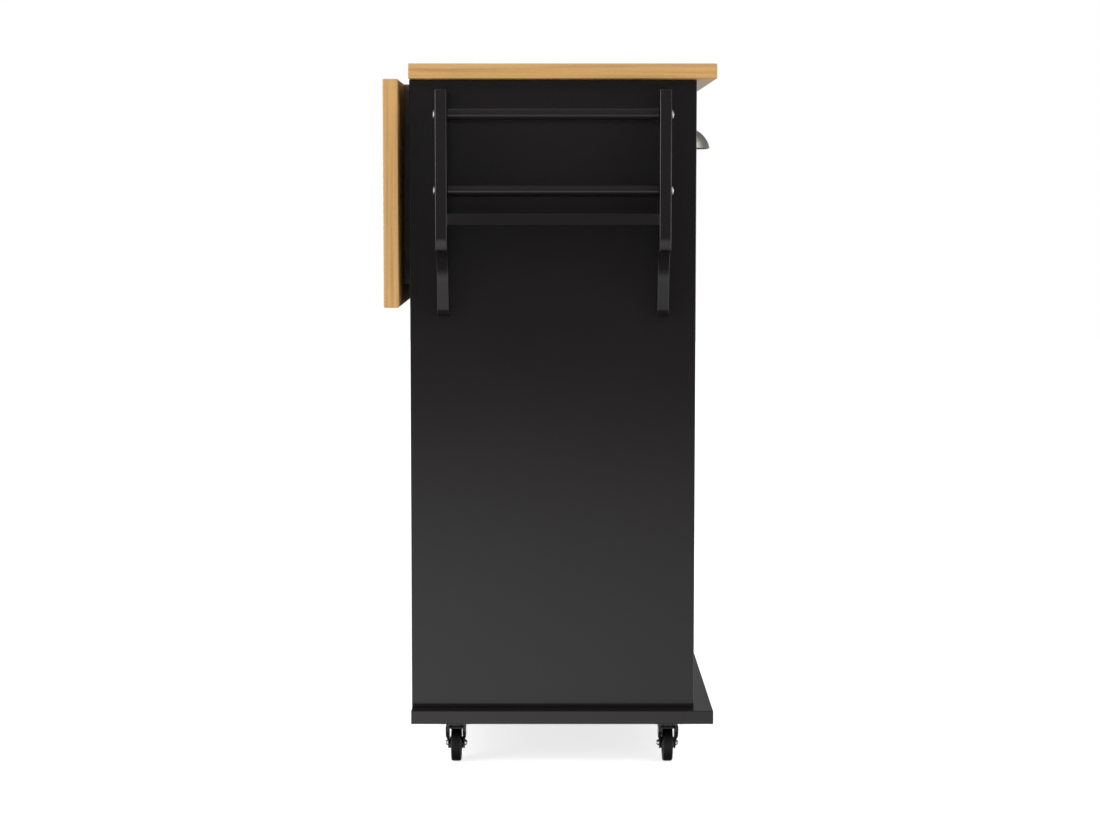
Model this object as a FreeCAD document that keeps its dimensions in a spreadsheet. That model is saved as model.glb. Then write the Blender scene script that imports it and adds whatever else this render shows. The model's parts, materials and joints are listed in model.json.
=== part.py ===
import FreeCAD, Part
import math
import os
import types

import Sketcher

# A rolling kitchen island: a three-bay cabinet on a base board with four swivel casters, a wood
# worktop with a drop leaf on folding brackets, a spice rack on the left end and a towel rack on
# the right end. Millimetres. Z is up, the doors face -Y, and the origin is on the floor under the
# middle of the whole island.

SIZES = (
    # Cabinet, worktop and base board
    ("top_length", 1100, "worktop and base board, end to end"),
    ("top_thickness", 20, "worktop"),
    ("end_overhang", 25, "worktop and base board beyond each side panel"),
    ("front_overhang", 25, "worktop and base board beyond the front"),
    ("cabinet_depth", 380, "side panels, front to back"),
    ("cabinet_height", 840, "side panels, base board to worktop"),
    ("base_thickness", 18, "base board"),
    ("panel_thickness", 15, "side panels, partitions and shelves"),
    ("back_thickness", 12, "back panel"),
    ("top_ease", 1.5, "eased edges of the worktop and the leaf"),
    ("edge_ease", 0.6, "eased edges of the painted boards"),
    # Fronts
    ("front_thickness", 18, "drawer fronts and door frames"),
    ("reveal", 3.2, "gap round each front"),
    ("drawer_front_height", 140, "drawer front"),
    ("rail_board_depth", 60, "rail between a drawer and its door"),
    ("stile_width", 52, "door frame"),
    ("door_panel_thickness", 6, "panel in the door frame"),
    ("door_panel_recess", 7, "panel behind the frame's face"),
    ("groove_depth", 8, "groove that holds the door panel"),
    # Shelves and their pins
    ("shelf_play", 0.5, "each end of a shelf"),
    ("shelf_setback", 4, "open shelves behind the front edges"),
    ("door_shelf_setback", 30, "cupboard shelves behind the front edges"),
    ("shelf_pin_radius", 2.5, "shelf pin"),
    ("shelf_pin_reach", 9, "shelf pin beyond the panel"),
    ("shelf_pin_depth", 6, "shelf pin in the panel"),
    ("shelf_pin_inset", 40, "shelf pins from the shelf's front and back edges"),
    ("pin_hole_play", 0.05, "pin holes round the pins"),
    # Drawer boxes and runners
    ("drawer_clearance", 30, "behind a drawer box"),
    ("drawer_wall", 12, "drawer sides and back"),
    ("drawer_height", 100, "drawer sides and back"),
    ("drawer_lift", 14, "drawer box above the lower edge of its front"),
    ("drawer_bottom_thickness", 4, "drawer bottom"),
    ("drawer_bottom_lift", 10, "drawer bottom above the lower edge of the sides"),
    ("drawer_bottom_groove", 5, "drawer bottom in its grooves"),
    ("runner_space", 12.5, "between a drawer side and a panel"),
    ("runner_wall", 1.2, "runner sheet"),
    ("runner_play", 0.8, "between the two channels of a runner"),
    ("runner_height", 34, "outer channel of a runner"),
    ("runner_setback", 20, "runner's rear end short of the drawer's"),
    # Cup pulls and knobs
    ("pull_projection", 28, "cup pull"),
    ("pull_width", 98, "cup pull"),
    ("pull_height", 28, "cup pull"),
    ("pull_curve_radius", 35, "section of the cup"),
    ("pull_wall", 2, "cup pull"),
    ("knob_projection", 19, "door knob"),
    ("knob_radius", 14, "door knob"),
    ("knob_neck_radius", 6, "door knob"),
    ("knob_foot_radius", 9, "door knob"),
    ("knob_foot_height", 3, "door knob"),
    ("knob_head_height", 8, "door knob"),
    ("knob_inset", 26, "knob from the free edge of its door"),
    ("knob_drop", 90, "knob below the top edge of its door"),
    # Butt hinges
    ("hinge_height", 50, "butt hinge"),
    ("hinge_inset", 70, "hinge from the end of the door to its nearer end"),
    ("hinge_leaf_depth", 15, "hinge leaf"),
    ("hinge_leaf_thickness", 1, "hinge leaf"),
    ("knuckle_radius", 1.4, "hinge knuckle"),
    ("knuckle_setback", 0.4, "hinge axis behind the door's face"),
    ("hinge_pin_radius", 0.8, "hinge pin"),
    ("hinge_play", 0.06, "knuckle bore round its pin"),
    ("leaf_play", 0.2, "between a knuckle and the other leaf's plate"),
    ("knuckle_gap", 0.25, "between knuckles"),
    ("catch_width", 44, "magnet catch"),
    ("catch_height", 14, "magnet catch"),
    ("catch_depth", 15, "magnet catch"),
    ("catch_play", 0.3, "between a magnet catch and its door"),
    # Racks on the two ends
    ("rack_depth", 75, "rack brackets beyond the side panel"),
    ("rack_drop", 16, "bracket top below the worktop"),
    ("rack_board", 15, "rack bracket and rack shelf"),
    ("rack_setback", 37, "rack brackets from the panel's front and back edges"),
    ("spice_straight", 190, "straight front of the spice rack bracket"),
    ("towel_straight", 62, "straight front of the towel rack bracket"),
    ("corbel_round_drop", 18, "convex turn under the straight front"),
    ("corbel_round_recess", 10, "convex turn, inwards"),
    ("corbel_round_radius", 22, "convex turn"),
    ("corbel_cove_drop", 30, "cove under the convex turn"),
    ("corbel_cove_radius", 36, "cove"),
    ("corbel_nose", 29, "bracket foot under the cove, beyond the panel"),
    ("corbel_nose_drop", 48, "foot under the cove"),
    ("corbel_foot", 20, "bracket foot at its rounded end"),
    ("corbel_foot_drop", 10, "rounded end of the foot"),
    ("corbel_foot_radius", 14, "rounded end of the foot"),
    ("corbel_heel", 10, "flat lower end of the foot, beyond the panel"),
    ("rail_radius", 8, "rack rail"),
    ("rail_setback", 22, "rail centre behind the bracket's front edge"),
    ("rail_drop", 31.3, "upper rail centre below the bracket top"),
    ("rail_spacing", 98.3, "between the two rails"),
    ("rack_shelf_drop", 159.7, "rack shelf's top below the bracket top"),
    ("bolt_head_radius", 5.5, "bolt through a rack bracket"),
    ("bolt_head_height", 3.5, "bolt through a rack bracket"),
    ("bolt_radius", 2.2, "bolt through a rack bracket"),
    ("bolt_grip", 14, "bolt in the end of a rail"),
    ("bolt_play", 0.05, "bolt hole round the bolt"),
    # Drop leaf and folding brackets
    ("leaf_drop", 300, "drop leaf, hinge edge to free edge"),
    ("leaf_thickness", 20, "drop leaf"),
    ("leaf_standoff", 13.5, "leaf behind the cabinet's back"),
    ("leaf_joint", 1.5, "between the raised leaf and the worktop"),
    ("bracket_inset", 162, "middle of a folding bracket from the worktop's end"),
    ("channel_width", 24, "wall channel of a folding bracket"),
    ("channel_wall", 1.5, "bracket sheet"),
    ("channel_tail", 113, "wall channel below the brace's pivot"),
    ("channel_head", 4.2, "wall channel above the leaf's pivot"),
    ("channel_rim", 11, "wall channel flanges from the back panel"),
    ("bracket_play", 0.35, "between the nested channels"),
    ("arm_end_gap", 26, "leaf arm's end above the leaf's free edge"),
    ("arm_round", 5.3, "round end of the leaf arm about the pivot"),
    ("arm_rim", 10, "leaf arm flanges from the leaf"),
    ("brace_pivot_drop", 51, "brace pivot below the leaf's pivot"),
    ("folded_pin_end", 27, "brace's pin above the leaf arm's end, when folded"),
    ("brace_round", 4.2, "round ends of the brace"),
    ("rivet_radius", 2.5, "pivot rivets and slot pin"),
    ("rivet_play", 0.08, "pivot holes round the rivets"),
    ("rivet_head_radius", 4, "pivot rivets"),
    ("rivet_head_height", 1.2, "pivot rivets"),
    ("slot_play", 0.5, "slot round the brace's pin"),
    ("wood_screw_radius", 1.8, "screws of the folding brackets"),
    ("wood_screw_head", 3.6, "screw heads of the folding brackets"),
    ("wood_screw_head_height", 1.3, "screw heads of the folding brackets"),
    ("wood_screw_length", 10, "screws of the folding brackets in the wood"),
    ("screw_near", 32, "first screw below the leaf's pivot"),
    ("screw_far", 140, "wall channel's other screw below the leaf's pivot"),
    ("screw_end", 11, "last screw above the leaf arm's end"),
    # Casters
    ("caster_height", 62, "floor to base board"),
    ("wheel_radius", 25, "wheel"),
    ("wheel_width", 13.8, "tread"),
    ("wheel_shoulder", 3, "bevelled edge of the tread"),
    ("wheel_rim_radius", 19, "inner edge of the tyre"),
    ("wheel_web", 8, "web between the hub and the tyre"),
    ("hub_radius", 8, "hub"),
    ("hub_width", 17.6, "hub"),
    ("fork_gap", 2.3, "between the tread and a fork leg"),
    ("fork_wall", 2, "crown and legs of the fork"),
    ("fork_shoulder", 13.6, "half width of the fork's thick shoulders"),
    ("fork_shoulder_drop", 15, "straight shoulders under the crown's top"),
    ("fork_flare_drop", 7.2, "slope from the shoulders to the legs"),
    ("fork_front", 14, "fork crown ahead of the swivel axis"),
    ("fork_boss", 8, "round end of a fork leg"),
    ("fork_waist", 6, "front edge of the fork below its crown"),
    ("caster_trail", 18, "axle behind the swivel axis"),
    ("caster_side_inset", 59, "swivel axis from the base board's long edges"),
    ("caster_end_inset", 37, "swivel axis from the base board's ends"),
    ("plate_width", 44, "caster plate"),
    ("plate_thickness", 2, "caster plate"),
    ("race_radius", 10, "swivel race under the plate"),
    ("race_height", 7, "swivel race under the plate"),
    ("swivel_play", 0.3, "between the race, the crown and the kingpin head"),
    ("kingpin_radius", 4, "kingpin"),
    ("kingpin_play", 0.08, "crown bore round the kingpin"),
    ("kingpin_head_radius", 5.5, "kingpin"),
    ("kingpin_head_height", 1.5, "kingpin"),
    ("axle_radius", 3, "axle bolt"),
    ("axle_play", 0.06, "bores round the axle bolt"),
    ("axle_head_radius", 4.8, "axle bolt"),
    ("axle_head_height", 3.6, "axle bolt"),
    ("plate_screw_spacing", 33, "screws of a caster plate"),
    ("plate_screw_radius", 2, "screws of a caster plate"),
    ("plate_screw_play", 0.3, "plate holes round the screws"),
    ("plate_screw_head", 3.8, "screw heads of a caster plate"),
    ("plate_screw_head_height", 2.2, "screw heads of a caster plate"),
    ("plate_screw_length", 14, "screws of a caster plate above the heads"),
)

# Places as shares of the height or length that they follow
OPEN_SHELF_SHARES = (0.33, 0.66)
CUPBOARD_SHELF_SHARE = 0.52
PULL_HEIGHT_SHARE = 0.5
KNOB_CROWN_SHARE = 0.5
HEXAGON_SHARE = math.sqrt(3) / 2

doc = FreeCAD.newDocument("kitchen_island")
sheet = doc.addObject("Spreadsheet::Sheet", "sizes")
for row, (alias, number, note) in enumerate(SIZES, start=1):
    sheet.set(f"A{row}", note)
    sheet.set(f"B{row}", str(number))
    sheet.setAlias(f"B{row}", alias)
doc.recompute()


class Rule:
    """A length worked out from the sheet: its number now, and the expression that keeps it."""

    def __init__(self, number, text):
        self.number = float(number)
        self.text = text

    def __add__(self, other):
        return Rule(self.number + now(other), f"({self.text} + {words(other)})")

    def __radd__(self, other):
        return Rule(now(other) + self.number, f"({words(other)} + {self.text})")

    def __sub__(self, other):
        return Rule(self.number - now(other), f"({self.text} - {words(other)})")

    def __rsub__(self, other):
        return Rule(now(other) - self.number, f"({words(other)} - {self.text})")

    def __mul__(self, other):
        return Rule(self.number * now(other), f"({self.text} * {words(other)})")

    def __rmul__(self, other):
        return Rule(now(other) * self.number, f"({words(other)} * {self.text})")

    def __truediv__(self, other):
        return Rule(self.number / now(other), f"({self.text} / {words(other)})")

    def __neg__(self):
        return Rule(-self.number, f"(-{self.text})")


def now(value):
    """The number that a rule or a plain number gives at present."""
    return value.number if isinstance(value, Rule) else float(value)


def words(value):
    """The expression text of a rule or a plain number."""
    return value.text if isinstance(value, Rule) else repr(value)


def larger(first, second):
    """The larger of two rules."""
    return Rule(max(now(first), now(second)), f"max({words(first)}; {words(second)})")


def root(value):
    """The square root of a rule."""
    return Rule(math.sqrt(now(value)), f"sqrt({words(value)})")


d = types.SimpleNamespace()
for alias, number, note in SIZES:
    setattr(d, alias, Rule(number, f"sizes.{alias}"))


# Planes and heights that the sub-parts share

half_length = d.top_length / 2
cabinet_length = d.top_length - 2 * d.end_overhang
front_reach = larger(d.front_overhang, d.pull_projection)
back_reach = d.leaf_standoff + d.leaf_thickness
y_front = (front_reach - d.cabinet_depth - back_reach) / 2
y_back = y_front + d.cabinet_depth
y_top_front = y_front - d.front_overhang
x_left = -cabinet_length / 2
x_right = cabinet_length / 2
bay_width = (cabinet_length - 4 * d.panel_thickness) / 3
bay_step = bay_width + d.panel_thickness
bay_left = [x_left + d.panel_thickness, -bay_width / 2, x_right - d.panel_thickness - bay_width]
z_base = d.caster_height
z_floor = z_base + d.base_thickness
z_under = z_floor + d.cabinet_height
z_top = z_under + d.top_thickness
z_drawer_top = z_under - d.reveal
z_drawer_low = z_drawer_top - d.drawer_front_height
z_rail_top = z_drawer_low - d.reveal
z_rail_low = z_rail_top - d.panel_thickness
z_door_top = z_rail_low - d.reveal
z_door_low = z_floor + d.reveal
door_height = z_door_top - z_door_low
y_inner_back = y_back - d.back_thickness


# Drawing helpers

def bind(thing, prop, value):
    """Give a property its rule; a plain zero is already there."""
    if isinstance(value, Rule):
        thing.setExpression(prop, value.text)


def place(thing, x=0, y=0, z=0, turn=0):
    """Put a piece at a point that follows the sheet, turned about Z by so many degrees."""
    thing.Placement = FreeCAD.Placement(
        FreeCAD.Vector(now(x), now(y), now(z)), FreeCAD.Rotation(FreeCAD.Vector(0, 0, 1), turn)
    )
    for axis, value in zip("xyz", (x, y, z)):
        bind(thing, f".Placement.Base.{axis}", value)
    return thing


def new_body(label):
    """An empty PartDesign body with its label."""
    body = doc.addObject("PartDesign::Body", label)
    body.Label = label
    return body


def origin_plane(body, role):
    """One of the body's own three planes."""
    return [flat for flat in body.Origin.OriginFeatures if flat.Role == role][0]


def vector(point):
    """A sketch point as a vector, at its number now."""
    return FreeCAD.Vector(now(point[0]), now(point[1]), 0)


def arc_through(start, end, radius, side):
    """The lesser arc from start to end; side is 1 for a left turn and -1 for a right turn."""
    chord = end - start
    rise = math.sqrt(max(radius ** 2 - (chord.Length / 2) ** 2, 0))
    across = FreeCAD.Vector(-chord.y, chord.x, 0).normalize()
    centre = (start + end) / 2 + across * rise * side
    first, last = (start, end) if side > 0 else (end, start)
    angles = [math.atan2(p.y - centre.y, p.x - centre.x) for p in (first, last)]
    if angles[1] <= angles[0]:
        angles[1] += 2 * math.pi
    circle = Part.Circle(centre, FreeCAD.Vector(0, 0, 1), radius)
    return Part.ArcOfCircle(circle, angles[0], angles[1])


def hold(sketch, edge, end, point):
    """Tie one point of a sketch to its two rules, measured from the sketch's origin."""
    for axis, value in zip("XY", point):
        made = sketch.addConstraint(
            Sketcher.Constraint(f"Distance{axis}", -1, 1, edge, end, now(value))
        )
        bind(sketch, f"Constraints[{made}]", value)


def hold_radius(sketch, edge, radius):
    """Tie the radius of a circle or an arc to its rule."""
    made = sketch.addConstraint(Sketcher.Constraint("Radius", edge, now(radius)))
    bind(sketch, f"Constraints[{made}]", radius)


def hold_level(sketch, edge, start, end):
    """Keep a half circle's centre level with its ends, which lie along X or Y."""
    axis, value = ("Y", start[1]) if now(start[1]) == now(end[1]) else ("X", start[0])
    made = sketch.addConstraint(Sketcher.Constraint(f"Distance{axis}", -1, 1, edge, 3, now(value)))
    bind(sketch, f"Constraints[{made}]", value)


def draw_outline(sketch, corners, bows):
    """A closed outline; bows gives (radius, side) for each side that is an arc."""
    ends = []
    for index, corner in enumerate(corners):
        start, end = vector(corner), vector(corners[(index + 1) % len(corners)])
        if index in bows:
            radius, side = bows[index]
            edge = sketch.addGeometry(arc_through(start, end, now(radius), side), False)
            ends.append((edge, 1, 2) if side > 0 else (edge, 2, 1))
        else:
            edge = sketch.addGeometry(Part.LineSegment(start, end), False)
            ends.append((edge, 1, 2))
    for index, (edge, _, last) in enumerate(ends):
        following = ends[(index + 1) % len(ends)]
        sketch.addConstraint(
            Sketcher.Constraint("Coincident", edge, last, following[0], following[1])
        )
    for (edge, first, _), corner in zip(ends, corners):
        hold(sketch, edge, first, corner)
    for index, (radius, _) in bows.items():
        start, end = corners[index], corners[(index + 1) % len(corners)]
        chord = (vector(end) - vector(start)).Length
        if math.isclose(chord, 2 * now(radius)):
            # The ends of a half circle already give its radius, so its centre is held instead
            hold_level(sketch, ends[index][0], start, end)
        else:
            hold_radius(sketch, ends[index][0], radius)


def new_sketch(body, role, name, away=0):
    """A sketch on one of the body's planes, or away from it along its normal."""
    sketch = body.newObject("Sketcher::SketchObject", name)
    sketch.AttachmentSupport = (origin_plane(body, role), [""])
    sketch.MapMode = "FlatFace"
    bind(sketch, ".AttachmentOffset.Base.z", away)
    return sketch


def outline(body, role, name, corners, bows=None, away=0):
    """A sketch with one closed outline."""
    sketch = new_sketch(body, role, name, away)
    draw_outline(sketch, corners, bows or {})
    return sketch


def rings(body, role, name, centres, radius, away=0):
    """A sketch with one circle at each centre."""
    sketch = new_sketch(body, role, name, away)
    for centre in centres:
        circle = Part.Circle(vector(centre), FreeCAD.Vector(0, 0, 1), now(radius))
        edge = sketch.addGeometry(circle, False)
        hold(sketch, edge, 3, centre)
        hold_radius(sketch, edge, radius)
    return sketch


def six_sided(body, role, name, radius):
    """A sketch with a regular hexagon, its corners at the radius."""
    half, rise = radius / 2, radius * HEXAGON_SHARE
    return outline(body, role, name, [(radius, 0), (half, rise), (-half, rise), (-radius, 0),
                                      (-half, -rise), (half, -rise)])


def extrude(body, kind, sketch, length, reverse=False):
    """A pad or a pocket of a set length."""
    feature = body.newObject(f"PartDesign::{kind}", f"{sketch.Name}_{kind.lower()}")
    feature.Profile = sketch
    bind(feature, "Length", length)
    feature.Reversed = reverse
    return feature


def cut_through(body, sketch):
    """A pocket through the whole body, both ways."""
    feature = body.newObject("PartDesign::Pocket", f"{sketch.Name}_cut")
    feature.Profile = sketch
    feature.Midplane = True
    feature.Type = "ThroughAll"
    return feature


def turned(body, sketch, kind="Revolution", angle=360, axis="V_Axis", reverse=False):
    """A sketch turned about one of its own axes."""
    feature = body.newObject(f"PartDesign::{kind}", f"{sketch.Name}_turn")
    feature.Profile = sketch
    feature.ReferenceAxis = (sketch, [axis])
    feature.Angle = angle
    feature.Reversed = reverse
    return feature


def ease_all(body, feature, amount):
    """A small chamfer on every edge."""
    trim = body.newObject("PartDesign::Chamfer", f"{body.Name}_ease")
    trim.Base = (feature, [""])
    trim.UseAllEdges = True
    bind(trim, "Size", amount)
    return trim


def board(label, low, high, ease=None):
    """A rectangular board between two corners, with eased edges."""
    body = new_body(label)
    solid = body.newObject("PartDesign::AdditiveBox", f"{label}_solid")
    for prop, start, end in zip(("Length", "Width", "Height"), low, high):
        bind(solid, prop, end - start)
    if ease is not None:
        ease_all(body, solid, ease)
    return place(body, *low)


def block(label, low, high):
    """A plain box between two corners, for pieces that are cut or joined afterwards."""
    box = doc.addObject("Part::Box", label)
    box.Label = label
    for prop, start, end in zip(("Length", "Width", "Height"), low, high):
        bind(box, prop, end - start)
    return place(box, *low)


def combine(kind, label, base, tool):
    """Two pieces joined or cut: kind is Fuse or Cut."""
    result = doc.addObject(f"Part::{kind}", label)
    result.Label = label
    result.Base = base
    result.Tool = tool
    return result


def together(label, pieces):
    """Separate solids that share one node."""
    compound = doc.addObject("Part::Compound", label)
    compound.Label = label
    compound.Links = pieces
    return compound


def copies(label, master, places):
    """The same piece at several places, as one node; each place is x, y, z and a turn about Z."""
    links = []
    for index, (x, y, z, turn) in enumerate(places, start=1):
        link = doc.addObject("App::Link", f"{label}_{index}")
        link.LinkedObject = master
        links.append(place(link, x, y, z, turn))
    return together(label, links)


def screw_master(label, role, backwards, head, head_height, radius, length):
    """A screw with its seat at the origin: a six-sided head one way, its shank the other way."""
    body = new_body(label)
    shank = six_sided(body, role, f"{label}_shank", radius)
    extrude(body, "Pad", shank, length, reverse=backwards)
    top = six_sided(body, role, f"{label}_head", head)
    extrude(body, "Pad", top, head_height, reverse=not backwards)
    return body


# Shelves: their heights and pin places, which the panels' holes follow

def pin_height(shelf_bottom):
    """The height of the pins that carry a shelf."""
    return shelf_bottom - d.shelf_pin_radius


open_shelf_bottoms = [z_floor + d.cabinet_height * share for share in OPEN_SHELF_SHARES]
cupboard_shelf_bottom = z_door_low + door_height * CUPBOARD_SHELF_SHARE
y_open_front = y_front + d.shelf_setback
y_cupboard_front = y_front + d.door_shelf_setback


def pin_depths(shelf_front):
    """The two places, front to back, of the pins under a shelf."""
    return [shelf_front + d.shelf_pin_inset, y_inner_back - d.shelf_pin_inset]


def hole_centres(shelf_bottoms, shelf_front):
    """Pin holes on a panel face."""
    return [(y - y_front, pin_height(bottom) - z_floor)
            for bottom in shelf_bottoms for y in pin_depths(shelf_front)]


CUPBOARD_HOLES = hole_centres([cupboard_shelf_bottom], y_cupboard_front)
OPEN_HOLES = hole_centres(open_shelf_bottoms, y_open_front)


# Cabinet panels

def upright(label, x, depth, low_face_holes, high_face_holes):
    """A side panel or a partition, with pin holes in its -X face, its +X face or both."""
    low = (x, y_front, z_floor)
    high = (x + d.panel_thickness, y_front + depth, z_under)
    body = board(label, low, high, d.edge_ease)
    radius = d.shelf_pin_radius + d.pin_hole_play
    if low_face_holes:
        holes = rings(body, "YZ_Plane", f"{label}_low_holes", low_face_holes, radius)
        extrude(body, "Pocket", holes, d.shelf_pin_depth, reverse=True)
    if high_face_holes:
        away = d.panel_thickness
        holes = rings(body, "YZ_Plane", f"{label}_high_holes", high_face_holes, radius, away)
        extrude(body, "Pocket", holes, d.shelf_pin_depth)
    return body


def make_carcass():
    """Worktop, base board, panels, back, rails and shelves."""
    board("worktop", (-half_length, y_top_front, z_under), (half_length, y_back, z_top), d.top_ease)
    board("base_board", (-half_length, y_top_front, z_base), (half_length, y_back, z_floor),
          d.edge_ease)
    depth = d.cabinet_depth
    inner_depth = depth - d.back_thickness
    upright("side_panel_left", x_left, depth, None, CUPBOARD_HOLES)
    upright("partition_left", bay_left[1] - d.panel_thickness, inner_depth,
            CUPBOARD_HOLES, OPEN_HOLES)
    upright("partition_right", bay_left[1] + bay_width, inner_depth, OPEN_HOLES, CUPBOARD_HOLES)
    upright("side_panel_right", x_right - d.panel_thickness, depth, CUPBOARD_HOLES, None)
    board("back_panel", (x_left + d.panel_thickness, y_inner_back, z_floor),
          (x_right - d.panel_thickness, y_back, z_under), d.edge_ease)
    rails = [board(f"drawer_rail_{side}", (x, y_front, z_rail_low),
                   (x + bay_width, y_front + d.rail_board_depth, z_rail_top), d.edge_ease)
             for side, x in (("left", bay_left[0]), ("right", bay_left[2]))]
    together("drawer_rails", rails)
    shelf("shelf_left", bay_left[0], cupboard_shelf_bottom, y_cupboard_front)
    shelf("shelf_right", bay_left[2], cupboard_shelf_bottom, y_cupboard_front)
    levels = zip(("lower", "upper"), open_shelf_bottoms)
    together("centre_shelves", [shelf(f"shelf_centre_{level}", bay_left[1], bottom, y_open_front)
                                for level, bottom in levels])


def shelf(label, x, bottom, front):
    """A loose shelf on its four pins."""
    low = (x + d.shelf_play, front, bottom)
    high = (x + bay_width - d.shelf_play, y_inner_back - d.shelf_play, bottom + d.panel_thickness)
    return board(label, low, high, d.edge_ease)


def make_shelf_pins():
    """Round pins, four under each shelf, as one node."""
    pin = new_body("shelf_pin_master")
    face = rings(pin, "YZ_Plane", "shelf_pin_outline", [(0, 0)], d.shelf_pin_radius)
    extrude(pin, "Pad", face, d.shelf_pin_depth + d.shelf_pin_reach)
    levels = [(bay_left[0], cupboard_shelf_bottom, y_cupboard_front),
              (bay_left[2], cupboard_shelf_bottom, y_cupboard_front)]
    levels += [(bay_left[1], bottom, y_open_front) for bottom in open_shelf_bottoms]
    spots = []
    for x, bottom, front in levels:
        for y in pin_depths(front):
            spots.append((x - d.shelf_pin_depth, y, pin_height(bottom), 0))
            spots.append((x + bay_width + d.shelf_pin_depth, y, pin_height(bottom), 180))
    copies("shelf_pins", pin, spots)


# Drawers

def channel_section(body, name, height, wall, reach):
    """A C section with its web on the YZ plane and its flanges towards +X."""
    half = height / 2
    corners = [(0, -half), (reach, -half), (reach, -half + wall), (wall, -half + wall),
               (wall, half - wall), (reach, half - wall), (reach, half), (0, half)]
    return outline(body, "XZ_Plane", name, corners)


z_box_low = z_drawer_low + d.drawer_lift
z_box_top = z_box_low + d.drawer_height
z_runner = z_box_low + d.drawer_height / 2
y_box_front = y_front + d.front_thickness
y_box_back = y_inner_back - d.drawer_clearance
runner_length = y_box_back - y_box_front - d.runner_setback


def runner_channel(label, height):
    """One channel of a drawer runner, running back from its own front end."""
    body = new_body(label)
    reach = d.runner_space - d.runner_wall - d.runner_play
    section = channel_section(body, f"{label}_section", height, d.runner_wall, reach)
    extrude(body, "Pad", section, runner_length, reverse=True)
    return body


def make_runners():
    """The outer channels on the panels of both drawer bays, as one node."""
    master = runner_channel("outer_channel_master", d.runner_height)
    spots = []
    for x in (bay_left[0], bay_left[2]):
        spots.append((x, y_box_front, z_runner, 0))
        spots.append((x + bay_width, y_box_front + runner_length, z_runner, 180))
    copies("cabinet_runners", master, spots)


def make_drawer(side, x, inner_channel, pull):
    """A drawer: front, box of three boards, bottom, two inner channels and a cup pull."""
    name = f"drawer_{side}"
    board(f"{name}_front", (x + d.reveal, y_front, z_drawer_low),
          (x + bay_width - d.reveal, y_box_front, z_drawer_top), d.edge_ease)
    left, right = x + d.runner_space, x + bay_width - d.runner_space
    inner_left, inner_right = left + d.drawer_wall, right - d.drawer_wall
    y_inner = y_box_back - d.drawer_wall
    groove = d.drawer_bottom_groove
    z_bottom = z_box_low + d.drawer_bottom_lift
    z_bottom_top = z_bottom + d.drawer_bottom_thickness
    bottom_low = (inner_left - groove, y_box_front, z_bottom)
    bottom_high = (inner_right + groove, y_inner + groove, z_bottom_top)
    board(f"{name}_bottom", bottom_low, bottom_high)
    boards = (("side_a", (left, y_box_front, z_box_low), (inner_left, y_box_back, z_box_top)),
              ("side_b", (inner_right, y_box_front, z_box_low), (right, y_box_back, z_box_top)),
              ("back", (inner_left, y_inner, z_box_low), (inner_right, y_box_back, z_box_top)))
    pieces = []
    for word, low, high in boards:
        plain = block(f"{name}_{word}_board", low, high)
        space = block(f"{name}_{word}_groove", bottom_low, bottom_high)
        pieces.append(combine("Cut", f"{name}_{word}", plain, space))
    together(f"{name}_box", pieces)
    copies(f"{name}_slides", inner_channel,
           [(left, y_box_front + runner_length, z_runner, 180),
            (right, y_box_front, z_runner, 0)])
    z_pull = z_drawer_low + d.drawer_front_height * PULL_HEIGHT_SHARE - d.pull_height / 2
    copies(f"{name}_pull", pull, [(x + bay_width / 2, y_front, z_pull, 0)])


def make_pull_master():
    """A cup pull: a curved hood with quarter-round ends, open below."""
    body = new_body("cup_pull_master")
    middle = d.pull_width / 2 - d.pull_projection
    # The hood's section lies on the YZ plane, and its two ends turn about upright lines
    corners = [(0, 0), (-d.pull_projection, 0), (0, d.pull_height)]
    bows = {1: (d.pull_curve_radius, -1)}
    section = outline(body, "YZ_Plane", "cup_section", corners, bows, away=-middle)
    extrude(body, "Pad", section, 2 * middle)
    for word, away, backwards in (("left", -middle, True), ("right", middle, False)):
        end = outline(body, "YZ_Plane", f"cup_{word}_section", corners, bows, away=away)
        turned(body, end, angle=90, reverse=backwards)
    wall = d.pull_wall
    inner = [(0, 0), (-(d.pull_projection - wall), 0), (0, d.pull_height - wall)]
    inner_bows = {1: (d.pull_curve_radius - wall, -1)}
    hollow = outline(body, "YZ_Plane", "cup_hollow", inner, inner_bows, away=middle)
    extrude(body, "Pocket", hollow, 2 * middle)
    for word, away, backwards in (("left", -middle, True), ("right", middle, False)):
        end = outline(body, "YZ_Plane", f"cup_{word}_hollow", inner, inner_bows, away=away)
        turned(body, end, kind="Groove", angle=90, reverse=backwards)
    return body


# Doors

def make_knob_master():
    """A turned knob on the door's face, pointing to -Y."""
    body = new_body("knob_master")
    foot_y = -d.knob_foot_height
    head_y = -(d.knob_projection - d.knob_head_height)
    rim_y = -(d.knob_projection - d.knob_head_height / 2)
    crown = d.knob_radius * KNOB_CROWN_SHARE
    corners = [(0, 0), (d.knob_foot_radius, 0), (d.knob_foot_radius, foot_y / 2),
               (d.knob_neck_radius, foot_y), (d.knob_neck_radius, head_y),
               (d.knob_radius, rim_y), (crown, -d.knob_projection), (0, -d.knob_projection)]
    turned(body, outline(body, "XY_Plane", "knob_section", corners))
    return body


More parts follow.
